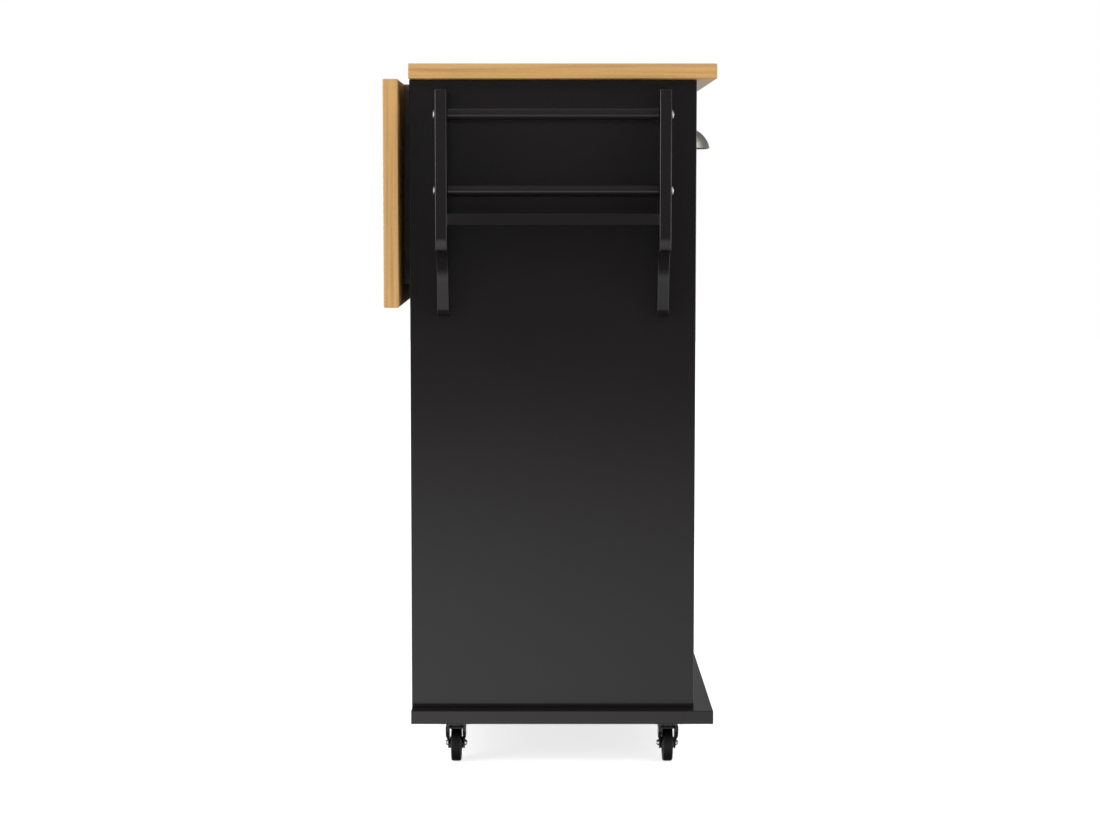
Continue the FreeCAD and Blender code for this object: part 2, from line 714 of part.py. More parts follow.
def make_door(side, x, hinge_left, knob):
    """A framed door: two stiles and two rails, the panel in their grooves, and a knob."""
    name = f"door_{side}"
    left, right = x + d.reveal, x + bay_width - d.reveal
    inner_left, inner_right = left + d.stile_width, right - d.stile_width
    y_face, y_rear = y_front, y_front + d.front_thickness
    y_groove = y_face + d.door_panel_recess
    y_groove_rear = y_groove + d.door_panel_thickness
    z_low, z_high = z_door_low, z_door_top
    z_panel_low = z_low + d.stile_width - d.groove_depth
    z_panel_high = z_high - d.stile_width + d.groove_depth
    panel_low = (inner_left - d.groove_depth, y_groove, z_panel_low)
    panel_high = (inner_right + d.groove_depth, y_groove_rear, z_panel_high)
    board(f"{name}_panel", panel_low, panel_high)
    pieces = []
    stiles = (("stile_a", left, inner_left, inner_left - d.groove_depth, inner_left),
              ("stile_b", inner_right, right, inner_right, inner_right + d.groove_depth))
    for word, x_low, x_high, groove_low, groove_high in stiles:
        plain = block(f"{name}_{word}_board", (x_low, y_face, z_low), (x_high, y_rear, z_high))
        groove = block(f"{name}_{word}_groove", (groove_low, y_groove, z_low),
                       (groove_high, y_groove_rear, z_high))
        pieces.append(combine("Cut", f"{name}_{word}", plain, groove))
    rails = (("rail_low", z_low, z_low + d.stile_width), ("rail_top", z_high - d.stile_width, z_high))
    for word, low, high in rails:
        plain = block(f"{name}_{word}_board", (inner_left, y_face, low), (inner_right, y_rear, high))
        tenon = block(f"{name}_{word}_tenon", (inner_left - d.groove_depth, y_groove, low),
                      (inner_right + d.groove_depth, y_groove_rear, high))
        whole = combine("Fuse", f"{name}_{word}_whole", plain, tenon)
        space = block(f"{name}_{word}_groove", panel_low, panel_high)
        pieces.append(combine("Cut", f"{name}_{word}", whole, space))
    together(f"{name}_frame", pieces)
    x_knob = right - d.knob_inset if hinge_left else left + d.knob_inset
    copies(f"{name}_knob", knob, [(x_knob, y_face, z_high - d.knob_drop, 0)])


knuckle_axis = d.reveal / 2
knuckle_length = (d.hinge_height - 2 * d.knuckle_gap) / 3


def hinge_leaf(label, knuckles):
    """A hinge leaf on a wall at X = 0, its axis on Z above the origin's knuckle line."""
    body = new_body(label)
    rear = d.hinge_leaf_depth
    near = d.knuckle_radius + d.leaf_play
    plate = [(-knuckle_axis, near), (d.hinge_leaf_thickness - knuckle_axis, near),
             (d.hinge_leaf_thickness - knuckle_axis, rear), (-knuckle_axis, rear)]
    extrude(body, "Pad", outline(body, "XY_Plane", f"{label}_plate", plate), d.hinge_height)
    for index in knuckles:
        low = index * (knuckle_length + d.knuckle_gap)
        away = low if index else 0
        web = [(-knuckle_axis, 0), (d.hinge_leaf_thickness - knuckle_axis, 0),
               (d.hinge_leaf_thickness - knuckle_axis, near + d.hinge_leaf_thickness),
               (-knuckle_axis, near + d.hinge_leaf_thickness)]
        extrude(body, "Pad", outline(body, "XY_Plane", f"{label}_web_{index}", web, away=away),
                knuckle_length)
        ring = rings(body, "XY_Plane", f"{label}_knuckle_{index}", [(0, 0)], d.knuckle_radius,
                     away=away)
        extrude(body, "Pad", ring, knuckle_length)
    bore = rings(body, "XY_Plane", f"{label}_bore", [(0, 0)], d.hinge_pin_radius + d.hinge_play)
    extrude(body, "Pocket", bore, d.hinge_height, reverse=True)
    return body


def mirrored(label, source):
    """The same piece mirrored across its own YZ plane."""
    piece = doc.addObject("Part::Mirroring", label)
    piece.Label = label
    piece.Source = source
    piece.Base = (0, 0, 0)
    piece.Normal = (1, 0, 0)
    return piece


y_hinge = y_front + d.knuckle_setback
hinge_heights = [z_door_low + d.hinge_inset, z_door_top - d.hinge_inset - d.hinge_height]
x_hinge = {"left": bay_left[0] + knuckle_axis, "right": bay_left[2] + bay_width - knuckle_axis}


def make_hinges():
    """Two butt hinges to a door: leaves on the panels, leaves on the doors, and pins."""
    fixed = hinge_leaf("fixed_leaf_master", (0, 2))
    moving = hinge_leaf("moving_leaf_master", (1,))
    fixed_mirror = mirrored("fixed_leaf_mirror", fixed)
    moving_mirror = mirrored("moving_leaf_mirror", moving)
    pin = new_body("hinge_pin_master")
    extrude(pin, "Pad", rings(pin, "XY_Plane", "hinge_pin_outline", [(0, 0)], d.hinge_pin_radius),
            d.hinge_height)
    fixed_links, pin_spots = [], []
    for side, x in x_hinge.items():
        # On the left bay the panel is on the -X side of the axis, on the right bay on the +X side
        panel_piece = fixed if side == "left" else fixed_mirror
        door_piece = moving_mirror if side == "left" else moving
        door_links = []
        for index, z in enumerate(hinge_heights):
            for piece, links, word in ((panel_piece, fixed_links, "fixed"),
                                       (door_piece, door_links, "moving")):
                link = doc.addObject("App::Link", f"{word}_leaf_{side}_{index}")
                link.LinkedObject = piece
                links.append(place(link, x, y_hinge, z))
            pin_spots.append((x, y_hinge, z, 0))
        together(f"door_{side}_hinge_leaves", door_links)
    together("cabinet_hinge_leaves", fixed_links)
    copies("hinge_pins", pin, pin_spots)


def make_catches():
    """A magnet catch under each drawer rail, behind the door's free stile."""
    y = y_front + d.front_thickness + d.catch_play
    pieces = []
    for side, x in (("left", bay_left[0] + bay_width - d.stile_width - d.catch_width),
                    ("right", bay_left[2] + d.stile_width)):
        pieces.append(block(f"door_catch_{side}", (x, y, z_rail_low - d.catch_height),
                            (x + d.catch_width, y + d.catch_depth, z_rail_low)))
    together("door_catches", pieces)


# Racks

z_rack_top = z_under - d.rack_drop
y_rack_front = y_front + d.rack_setback
y_rack_back = y_back - d.rack_setback
rail_out = d.rack_depth - d.rail_setback


def corbel(label, straight, drops, outward):
    """A bracket board: straight front, convex turn, cove and a rounded foot.

    The outline lies in the XZ plane with the panel at X = 0 and the top at Z = 0.
    """
    body = new_body(label)
    z_round = straight + d.corbel_round_drop
    z_cove = z_round + d.corbel_cove_drop
    z_nose = z_cove + d.corbel_nose_drop
    z_foot = z_nose + d.corbel_foot_drop
    points = [(0, 0), (d.rack_depth, 0), (d.rack_depth, straight),
              (d.rack_depth - d.corbel_round_recess, z_round), (d.corbel_nose, z_cove),
              (d.corbel_foot, z_nose), (d.corbel_heel, z_foot), (0, z_foot)]
    corners = [(outward * x if isinstance(x, Rule) else 0, -z if isinstance(z, Rule) else 0)
               for x, z in points]
    side = -outward
    bows = {2: (d.corbel_round_radius, side), 3: (d.corbel_cove_radius, -side),
            5: (d.corbel_foot_radius, side)}
    shape = outline(body, "XZ_Plane", f"{label}_outline", corners, bows)
    extrude(body, "Pad", shape, d.rack_board)
    holes = rings(body, "XZ_Plane", f"{label}_holes", [(outward * rail_out, -drop) for drop in drops],
                  d.bolt_radius + d.bolt_play)
    extrude(body, "Pocket", holes, d.rack_board, reverse=True)
    return body


def rail_master(label):
    """A round rail between two brackets, running to -Y, with a blind hole in each end."""
    body = new_body(label)
    length = d.cabinet_depth - 2 * d.rack_setback - 2 * d.rack_board
    extrude(body, "Pad", rings(body, "XZ_Plane", f"{label}_outline", [(0, 0)], d.rail_radius),
            length)
    radius = d.bolt_radius + d.bolt_play
    depth = d.bolt_grip + d.bolt_play
    near = rings(body, "XZ_Plane", f"{label}_near_hole", [(0, 0)], radius)
    extrude(body, "Pocket", near, depth, reverse=True)
    far = rings(body, "XZ_Plane", f"{label}_far_hole", [(0, 0)], radius, away=length)
    extrude(body, "Pocket", far, depth)
    return body


def make_racks():
    """The spice rack on the left end and the towel rack on the right end."""
    spice_drops = [d.rail_drop, d.rail_drop + d.rail_spacing]
    racks = (("spice", x_left, -1, d.spice_straight, spice_drops),
             ("towel", x_right, 1, d.towel_straight, [d.rail_drop]))
    rail = rail_master("rail_master")
    bolt_spots = []
    for word, x, outward, straight, drops in racks:
        for end, y in (("front", y_rack_front + d.rack_board), ("back", y_rack_back)):
            place(corbel(f"{word}_bracket_{end}", straight, drops, outward), x, y, z_rack_top)
        x_rail = x + outward * rail_out
        y_rail = y_rack_back - d.rack_board
        for drop in drops:
            bolt_spots.append((x_rail, y_rack_front, z_rack_top - drop, 0))
            bolt_spots.append((x_rail, y_rack_back, z_rack_top - drop, 180))
        copies(f"{word}_rails", rail, [(x_rail, y_rail, z_rack_top - drop, 0) for drop in drops])
    z_shelf = z_rack_top - d.rack_shelf_drop
    board("spice_shelf", (x_left - d.rack_depth, y_rack_front + d.rack_board, z_shelf - d.rack_board),
          (x_left, y_rack_back - d.rack_board, z_shelf))
    bolt = new_body("rack_bolt_master")
    length = d.rack_board + d.bolt_grip
    rise = d.bolt_head_height
    corners = [(0, -rise), (d.bolt_head_radius / 2, -rise), (d.bolt_head_radius, 0),
               (d.bolt_radius, 0), (d.bolt_radius, length), (0, length)]
    turned(bolt, outline(bolt, "XY_Plane", "rack_bolt_section", corners))
    copies("rack_bolts", bolt, bolt_spots)


# Drop leaf on two folding brackets

extra = d.leaf_standoff + d.leaf_thickness - d.top_thickness
pivot_out = (extra + d.leaf_joint) / 2
pivot_down = (extra - d.leaf_joint) / 2
y_pivot = y_back + pivot_out
z_pivot = z_under - pivot_down
y_leaf = y_back + d.leaf_standoff
z_leaf_low = z_under - d.leaf_drop
bracket_x = [-half_length + d.bracket_inset, half_length - d.bracket_inset]
arm_length = z_pivot - z_leaf_low - d.arm_end_gap
folded_pin = arm_length - d.folded_pin_end
brace_length = folded_pin - d.brace_pivot_drop
open_pin = root(brace_length * brace_length - d.brace_pivot_drop * d.brace_pivot_drop)
arm_half = d.channel_width / 2 - d.channel_wall - d.bracket_play
brace_half = arm_half - d.channel_wall - d.bracket_play
arm_web = d.leaf_standoff - pivot_out
arm_screws = [d.screw_near, arm_length - d.screw_end]
wall_screws = [d.screw_near, d.screw_far]


def u_shape(body, name, half, wall, web_y, rim_y, low):
    """The section of a channel along Z: its web at one Y and its two rims at the other."""
    return outline(body, "XY_Plane", name, [
        (-half, web_y), (half, web_y), (half, rim_y), (half - wall, rim_y),
        (half - wall, web_y + wall), (-half + wall, web_y + wall), (-half + wall, rim_y),
        (-half, rim_y)], away=low)


def make_wall_channel(label):
    """The channel on the back panel. Its origin is the leaf's pivot."""
    body = new_body(label)
    half = d.channel_width / 2
    low = -(d.brace_pivot_drop + d.channel_tail)
    high = d.channel_head
    section = u_shape(body, f"{label}_section", half, d.channel_wall, -pivot_out,
                      d.channel_rim - pivot_out, low)
    extrude(body, "Pad", section, high - low)
    holes = rings(body, "YZ_Plane", f"{label}_rivet_holes", [(0, 0), (0, -d.brace_pivot_drop)],
                  d.rivet_radius + d.rivet_play)
    cut_through(body, holes)
    screws = rings(body, "XZ_Plane", f"{label}_screw_holes", [(0, -drop) for drop in wall_screws],
                   d.wood_screw_radius + d.rivet_play)
    cut_through(body, screws)
    return body


def make_leaf_arm(label):
    """The channel on the leaf: web on the leaf, flanges towards the cabinet.

    The flanges have a slot for the brace's pin and a notch that clears the brace's rivet.
    """
    body = new_body(label)
    wall = d.channel_wall
    rim = arm_web - d.arm_rim
    # Side outline, as seen along X: round about the pivot, then straight to the free end
    corners = [(rim, 0 - d.arm_round), (rim, -arm_length), (arm_web, -arm_length),
               (arm_web, d.arm_round), (0, d.arm_round), (-d.arm_round, 0)]
    bows = {4: (d.arm_round, 1)}
    side = outline(body, "YZ_Plane", f"{label}_outline", corners, bows, away=-arm_half)
    extrude(body, "Pad", side, 2 * arm_half)
    inner = arm_half - wall
    overrun = arm_length + d.arm_round
    hollow = outline(body, "XY_Plane", f"{label}_hollow",
                     [(-inner, -overrun), (inner, -overrun), (inner, arm_web - wall),
                      (-inner, arm_web - wall)], away=d.arm_round)
    extrude(body, "Pocket", hollow, overrun + overrun)
    pivot = rings(body, "YZ_Plane", f"{label}_pivot_hole", [(0, 0)], d.rivet_radius + d.rivet_play)
    cut_through(body, pivot)
    reach = d.rivet_radius + d.slot_play
    slot = outline(body, "YZ_Plane", f"{label}_slot",
                   [(reach, -open_pin), (-reach, -open_pin), (-reach, -folded_pin),
                    (reach, -folded_pin)], {0: (reach, 1), 2: (reach, 1)})
    cut_through(body, slot)
    notch_low, notch_high = -d.brace_pivot_drop - reach, -d.brace_pivot_drop + reach
    notch = outline(body, "YZ_Plane", f"{label}_notch",
                    [(rim - reach, notch_low), (0, notch_low), (0, notch_high),
                     (rim - reach, notch_high)], {1: (reach, 1)})
    cut_through(body, notch)
    screws = rings(body, "XZ_Plane", f"{label}_screw_holes", [(0, -drop) for drop in arm_screws],
                   d.wood_screw_radius + d.rivet_play)
    cut_through(body, screws)
    return body


def make_brace(label):
    """The brace: a channel open to the cabinet, hanging from its pivot, with its slot pin."""
    body = new_body(label)
    round_end, length, wall = d.brace_round, brace_length, d.channel_wall
    corners = [(-round_end, 0), (-round_end, -length), (round_end, -length), (round_end, 0)]
    bows = {1: (round_end, 1), 3: (round_end, 1)}
    side = outline(body, "YZ_Plane", f"{label}_outline", corners, bows, away=-brace_half)
    extrude(body, "Pad", side, 2 * brace_half)
    inner = brace_half - wall
    overrun = length + round_end
    hollow = outline(body, "XY_Plane", f"{label}_hollow",
                     [(-inner, -overrun), (inner, -overrun), (inner, round_end - wall),
                      (-inner, round_end - wall)], away=overrun)
    extrude(body, "Pocket", hollow, overrun + overrun + round_end)
    bores = rings(body, "YZ_Plane", f"{label}_bores", [(0, 0), (0, -length)],
                  d.rivet_radius + d.rivet_play)
    cut_through(body, bores)
    return body


def rod_along_x(label, radius, half_width, head_radius=None, head_height=None):
    """A pin along X with a head on each end, where head sizes are given."""
    body = new_body(label)
    shank = rings(body, "YZ_Plane", f"{label}_shank", [(0, 0)], radius, away=-half_width)
    extrude(body, "Pad", shank, 2 * half_width)
    if head_radius is not None:
        for word, away in (("left", -half_width - head_height), ("right", half_width)):
            head = rings(body, "YZ_Plane", f"{label}_{word}_head", [(0, 0)], head_radius, away=away)
            extrude(body, "Pad", head, head_height)
    return body


def make_leaf():
    """The leaf, its arms, the wall channels, the braces, and their rivets, pins and screws."""
    board("drop_leaf", (-half_length, y_leaf, z_leaf_low),
          (half_length, y_leaf + d.leaf_thickness, z_under), d.top_ease)
    spots = [(x, y_pivot, z_pivot, 0) for x in bracket_x]
    copies("wall_channels", make_wall_channel("wall_channel_master"), spots)
    copies("leaf_arms", make_leaf_arm("leaf_arm_master"), spots)
    rivet = rod_along_x("rivet_master", d.rivet_radius, d.channel_width / 2 + d.rivet_play,
                        d.rivet_head_radius, d.rivet_head_height)
    copies("bracket_rivets", rivet,
           [(x, y_pivot, z, 0) for x in bracket_x for z in (z_pivot, z_pivot - d.brace_pivot_drop)])
    brace = make_brace("brace_master")
    pin = rod_along_x("slot_pin_master", d.rivet_radius, brace_half)
    for side, x in zip(("left", "right"), bracket_x):
        links = []
        for word, master, drop in (("bar", brace, d.brace_pivot_drop), ("pin", pin, folded_pin)):
            link = doc.addObject("App::Link", f"brace_{side}_{word}")
            link.LinkedObject = master
            links.append(place(link, x, y_pivot, z_pivot - drop))
        together(f"brace_{side}", links)
    screw = screw_master("wood_screw_master", "XZ_Plane", True, d.wood_screw_head,
                         d.wood_screw_head_height, d.wood_screw_radius, d.wood_screw_length)
    y_channel = y_back + d.channel_wall
    copies("wall_channel_screws", screw,
           [(x, y_channel, z_pivot - drop, 180) for x in bracket_x for drop in wall_screws])
    y_arm = y_leaf - d.channel_wall
    copies("leaf_arm_screws", screw,
           [(x, y_arm, z_pivot - drop, 0) for x in bracket_x for drop in arm_screws])


# Casters

crown_top = -(d.plate_thickness + d.race_height + d.swivel_play)
crown_low = crown_top - d.fork_wall
axle_drop = d.caster_height - d.wheel_radius
leg_inner = d.wheel_width / 2 + d.fork_gap
leg_outer = leg_inner + d.fork_wall


def make_plate_master():
    """The fixed half of a caster: plate, race and kingpin. Its origin is under the base board."""
    body = new_body("caster_plate_master")
    half = d.plate_width / 2
    square = [(-half, -half), (half, -half), (half, half), (-half, half)]
    extrude(body, "Pad", outline(body, "XY_Plane", "plate_outline", square), d.plate_thickness,
            reverse=True)
    spot = d.plate_screw_spacing / 2
    holes = rings(body, "XY_Plane", "plate_holes",
                  [(sx * spot, sy * spot) for sx in (-1, 1) for sy in (-1, 1)],
                  d.plate_screw_radius + d.plate_screw_play)
    extrude(body, "Pocket", holes, d.plate_thickness)
    race_low = -(d.plate_thickness + d.race_height)
    head_top = crown_low - d.swivel_play
    head_low = head_top - d.kingpin_head_height
    corners = [(0, -d.plate_thickness / 2), (d.race_radius, -d.plate_thickness / 2),
               (d.race_radius, race_low), (d.kingpin_radius, race_low),
               (d.kingpin_radius, head_top), (d.kingpin_head_radius, head_top),
               (d.kingpin_head_radius, head_low), (0, head_low)]
    turned(body, outline(body, "XZ_Plane", "race_section", corners))
    return body


def make_fork_master():
    """The fork: a crown, thick shoulders that taper into two legs, and its bores."""
    body = new_body("caster_fork_master")
    shoulder = d.fork_shoulder
    z_shoulder = crown_top - d.fork_shoulder_drop
    z_leg = z_shoulder - d.fork_flare_drop
    z_end = -(axle_drop + d.fork_boss)
    half = [(leg_outer, z_end), (leg_outer, z_leg), (shoulder, z_shoulder), (shoulder, crown_top)]
    inside = [(leg_inner, z_end), (leg_inner, crown_low)]
    corners = half + [(-y, z) for y, z in reversed(half)]
    corners += [(-y, z) for y, z in inside] + list(reversed(inside))
    x_low, x_high = -(d.caster_trail + d.fork_boss), d.fork_front
    section = outline(body, "YZ_Plane", "fork_section", corners, away=x_low)
    extrude(body, "Pad", section, x_high - x_low)
    # What lies outside the legs' side outline is cut away
    trail, boss = -d.caster_trail, d.fork_boss
    overrun = d.fork_boss
    side = new_sketch(body, "XZ_Plane", "fork_trim")
    top = crown_top + overrun
    draw_outline(side, [(x_low - overrun, z_end - overrun), (x_high + overrun, z_end - overrun),
                        (x_high + overrun, top), (x_low - overrun, top)], {})
    draw_outline(side, [(trail - boss, -axle_drop), (trail + boss, -axle_drop),
                        (d.fork_front, crown_top - d.fork_waist), (d.fork_front, crown_top),
                        (-d.fork_front, crown_top)], {0: (boss, 1)})
    cut_through(body, side)
    king = rings(body, "XY_Plane", "fork_king_bore", [(0, 0)], d.kingpin_radius + d.kingpin_play)
    cut_through(body, king)
    axle = rings(body, "XZ_Plane", "fork_axle_bore", [(trail, -axle_drop)],
                 d.axle_radius + d.axle_play)
    cut_through(body, axle)
    return body


def make_axle_master():
    """The axle bolt along Y, with a bevelled head on each end."""
    body = new_body("axle_master")
    half, tip = leg_outer + d.axle_play, leg_outer + d.axle_play + d.axle_head_height
    neck, cap = d.axle_head_radius, d.axle_head_radius / 2
    corners = [(0, -tip), (cap, -tip), (neck, -half), (d.axle_radius, -half),
               (d.axle_radius, half), (neck, half), (cap, tip), (0, tip)]
    turned(body, outline(body, "XY_Plane", "axle_section", corners))
    return body


def make_wheel_master():
    """The wheel about Y: tyre with bevelled shoulders, web and hub."""
    body = new_body("caster_wheel_master")
    tread, hub, web = d.wheel_width / 2, d.hub_width / 2, d.wheel_web / 2
    bore = d.axle_radius + d.axle_play
    turn = d.wheel_shoulder
    half = [(d.hub_radius, hub), (d.hub_radius, web), (d.wheel_rim_radius, web),
            (d.wheel_rim_radius, tread), (d.wheel_radius - turn, tread),
            (d.wheel_radius, tread - turn)]
    corners = [(bore, -hub)] + [(r, -y) for r, y in half] + list(reversed(half)) + [(bore, hub)]
    turned(body, outline(body, "XY_Plane", "wheel_section", corners))
    return body


def make_casters():
    """Four swivel casters under the base board, their wheels trailing towards its middle."""
    plate, fork = make_plate_master(), make_fork_master()
    axle, wheel = make_axle_master(), make_wheel_master()
    x_left_pin = -half_length + d.caster_end_inset
    x_right_pin = half_length - d.caster_end_inset
    ends = (("left", x_left_pin, x_left_pin + d.caster_trail, 180),
            ("right", x_right_pin, x_right_pin - d.caster_trail, 0))
    rows = (("front", y_top_front + d.caster_side_inset), ("back", y_back - d.caster_side_inset))
    pins = [(x, y, z_base, 0) for _, x, _, _ in ends for _, y in rows]
    copies("caster_plates", plate, pins)
    corners = [(f"{row}_{end}", x, x_axle, y, turn)
               for end, x, x_axle, turn in ends for row, y in rows]
    for name, x, x_axle, y, turn in corners:
        links = []
        for word, master, spot in (("fork", fork, (x, y, z_base, turn)),
                                   ("axle", axle, (x_axle, y, d.wheel_radius, 0))):
            link = doc.addObject("App::Link", f"caster_{name}_{word}_copy")
            link.LinkedObject = master
            links.append(place(link, *spot))
        together(f"caster_fork_{name}", links)
        copies(f"caster_wheel_{name}", wheel, [(x_axle, y, d.wheel_radius, 0)])
    screw = screw_master("plate_screw_master", "XY_Plane", False, d.plate_screw_head,
                         d.plate_screw_head_height, d.plate_screw_radius, d.plate_screw_length)
    spot = d.plate_screw_spacing / 2
    z_head = z_base - d.plate_thickness
    copies("caster_screws", screw, [(x + sx * spot, y + sy * spot, z_head, 0)
                                    for x, y, _, _ in pins for sx in (-1, 1) for sy in (-1, 1)])


# The whole island

make_carcass()
make_shelf_pins()
make_runners()
inner_master = runner_channel("inner_channel_master",
                              d.runner_height - 2 * d.runner_wall - 2 * d.runner_play)
pull_master = make_pull_master()
knob_master = make_knob_master()
for bay_side, bay_x, hinged_left in (("left", bay_left[0], True), ("right", bay_left[2], False)):
    make_drawer(bay_side, bay_x, inner_master, pull_master)
    make_door(bay_side, bay_x, hinged_left, knob_master)
make_hinges()
make_catches()
make_racks()
make_leaf()
make_casters()
doc.recompute()

NODES = ["worktop", "base_board", "side_panel_left", "side_panel_right", "partition_left",
         "partition_right", "back_panel", "drawer_rails", "shelf_left", "shelf_right",
         "centre_shelves", "shelf_pins",
         "cabinet_runners", "cabinet_hinge_leaves", "hinge_pins", "door_catches",
         "spice_bracket_front", "spice_bracket_back", "spice_rails", "spice_shelf",
         "towel_bracket_front", "towel_bracket_back", "towel_rails", "rack_bolts",
         "wall_channels", "wall_channel_screws", "bracket_rivets", "caster_plates",
         "caster_screws", "drop_leaf", "leaf_arms", "leaf_arm_screws", "brace_left", "brace_right"]
for bay_side in ("left", "right"):
    NODES += [f"drawer_{bay_side}_{word}" for word in ("front", "box", "bottom", "slides", "pull")]
    NODES += [f"door_{bay_side}_{word}" for word in ("frame", "panel", "knob", "hinge_leaves")]
for corner in ("front_left", "back_left", "front_right", "back_right"):
    NODES += [f"caster_fork_{corner}", f"caster_wheel_{corner}"]

# Nothing is written before every object and every shape has been checked
for thing in doc.Objects:
    if "Invalid" in thing.State or "Error" in thing.State:
        raise RuntimeError(f"{thing.Name} failed: {thing.State}")
    if thing.TypeId in ("PartDesign::Pocket", "PartDesign::Groove"):
        removed = thing.BaseFeature.Shape.Volume - thing.Shape.Volume
        if removed <= 0:
            raise RuntimeError(f"{thing.Name} cuts nothing")
os.makedirs("parts", exist_ok=True)
for label in NODES:
    piece = doc.getObjectsByLabel(label)[0]
    if piece.Shape.isNull() or not piece.Shape.isValid():
        raise RuntimeError(f"{label} has no valid shape")
    piece.Shape.exportStep(f"parts/{label}.step")
print(len(NODES), "nodes,", sum(len(doc.getObjectsByLabel(n)[0].Shape.Solids) for n in NODES), "solids")
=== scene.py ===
import json
import math

import bmesh
import bpy
import numpy as np
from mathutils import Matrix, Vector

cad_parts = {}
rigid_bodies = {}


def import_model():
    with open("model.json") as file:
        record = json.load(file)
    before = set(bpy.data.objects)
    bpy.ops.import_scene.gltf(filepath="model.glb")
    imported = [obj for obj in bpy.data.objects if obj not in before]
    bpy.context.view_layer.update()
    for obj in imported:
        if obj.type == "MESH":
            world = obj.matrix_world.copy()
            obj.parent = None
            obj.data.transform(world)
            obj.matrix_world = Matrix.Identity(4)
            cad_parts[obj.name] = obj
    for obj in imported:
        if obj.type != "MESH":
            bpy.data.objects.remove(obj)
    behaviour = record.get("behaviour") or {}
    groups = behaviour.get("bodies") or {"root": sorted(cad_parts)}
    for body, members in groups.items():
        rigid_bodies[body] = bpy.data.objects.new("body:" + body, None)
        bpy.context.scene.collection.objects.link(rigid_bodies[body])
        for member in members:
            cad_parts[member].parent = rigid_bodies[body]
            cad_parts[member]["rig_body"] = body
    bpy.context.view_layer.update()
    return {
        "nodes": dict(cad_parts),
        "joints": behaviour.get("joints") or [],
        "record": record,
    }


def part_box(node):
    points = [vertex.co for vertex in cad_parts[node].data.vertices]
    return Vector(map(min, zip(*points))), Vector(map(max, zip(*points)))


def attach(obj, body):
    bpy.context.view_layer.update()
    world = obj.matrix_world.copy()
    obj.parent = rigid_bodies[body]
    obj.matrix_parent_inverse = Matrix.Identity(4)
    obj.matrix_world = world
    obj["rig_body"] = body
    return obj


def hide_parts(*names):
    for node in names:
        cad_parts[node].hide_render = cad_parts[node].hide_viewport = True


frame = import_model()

# A rolling kitchen island in satin black lacquer with a lacquered wood worktop and drop leaf.
# Metres, in the frame's own axes: Z is up, the doors face -Y, and the photograph looks along +X
# at the left end.

MM = 0.001
MICRON = 0.001 * MM
UP = np.array([0.0, 0.0, 1.0])

# The photograph, in its own pixels, and where it was taken from
PHOTO_WIDTH = 1100
FOCAL_PIXELS = 2450
AXIS_PIXEL_X = 542
SENSOR_WIDTH = 36.0
CAMERA_PLACE = (-3.783, 0.0118, 0.7706)
CAMERA_PITCH = math.radians(5.1)

# Colours as sRGB hex
PAINT_BLACK = "1A1718"
TOP_WOOD_PALE = "D9AE6C"
TOP_WOOD_MID = "CDA062"
TOP_WOOD_STREAK = "B98A50"
GLUE_LINE = "9A713F"
BAND_PALE = "D6A968"
BAND_WOOD = "CC9F60"
BAND_STREAK = "AE7E4A"
PLY_PALE = "DCC49A"
PLY_DARK = "BE9C6C"
NICKEL = "9C9993"
DULL_ZINC = "7B7976"
BRIGHT_ZINC = "A3A6A9"
# Zinc darkened to paint the shade under the base board on the caster plates
PLATE_ZINC_SHADED = "47484A"
BLACK_STEEL = "2A2929"
SCREW_ZINC = "C4C3C0"
COATED_BLACK = "161616"
RUBBER_BLACK = "121111"
NYLON_BLACK = "1C1B1B"
CATCH_BLACK = "1D1D1D"
FLOOR_WHITE = "F4F4F4"

# What gloss sees of the studio from straight down, 0, to straight up, 1, with eye level at 0.5:
# a dark floor, a bright table round it, a dark skirting just under eye level, and grey walls
STUDIO_LEVELS = ((0.11, "464646"), (0.18, "848484"), (0.25, "E0E0E0"), (0.30, "F2F2F2"),
                 (0.40, "FFFFFF"), (0.42, "E0E0E0"), (0.434, "E6E6E6"), (0.447, "909090"),
                 (0.457, "181818"), (0.485, "3C3C3C"), (0.505, "727272"), (0.53, "7A7A7A"),
                 (0.90, "8A8A8A"))
# How much of it a thin grey screen lets through, by direction from -Y, 0, to +Y, 1
STUDIO_SIDES = ((0.20, "FFFFFF"), (0.32, "F0F0F0"), (0.45, "CCCCCC"), (0.53, "FFFFFF"))
STUDIO_STRENGTH = 1.3
# A soft box fades in as |x * y| of the direction crosses one range, and out as |z| crosses one
SOFT_BOX_CORNER = (0.32, 0.42)
SOFT_BOX_HEIGHT = (0.04, 0.10)
SOFT_BOX_STRENGTH = 3.5
ROOM_LIGHT = 0.62
FLOOR_GLOW = 0.75
# Name, place, size and power of each lamp, and the point that they face
LAMPS = (("key_light", (-2.6, -2.4, 2.9), 2.0, 50), ("fill_light", (-2.2, 2.8, 2.0), 2.4, 56))
LAMP_TARGET = (0, 0, 0.5)


def linear(colour):
    """An sRGB hex colour as linear RGBA."""
    share = np.array([int(colour[i:i + 2], 16) for i in (0, 2, 4)]) / 255
    low = share / 12.92
    high = ((share + 0.055) / 1.055) ** 2.4
    return (*np.where(share <= 0.04045, low, high), 1.0)


# Materials

def add(tree, kind, inputs=None, **settings):
    """Add a node with its settings; each input gets a value or another node's output."""
    made = tree.nodes.new(kind)
    for name, value in settings.items():
        setattr(made, name, value)
    for name, value in (inputs or {}).items():
        if isinstance(value, bpy.types.NodeSocket):
            tree.links.new(value, made.inputs[name])
        else:
            made.inputs[name].default_value = value
    return made


def new_material(name):
    """An empty material with a shader and an output, and its tree."""
    material = bpy.data.materials.new(name)
    material.use_nodes = True
    tree = material.node_tree
    tree.nodes.clear()
    shader = add(tree, "ShaderNodeBsdfPrincipled")
    add(tree, "ShaderNodeOutputMaterial", {"Surface": shader.outputs[0]})
    return material, tree, shader


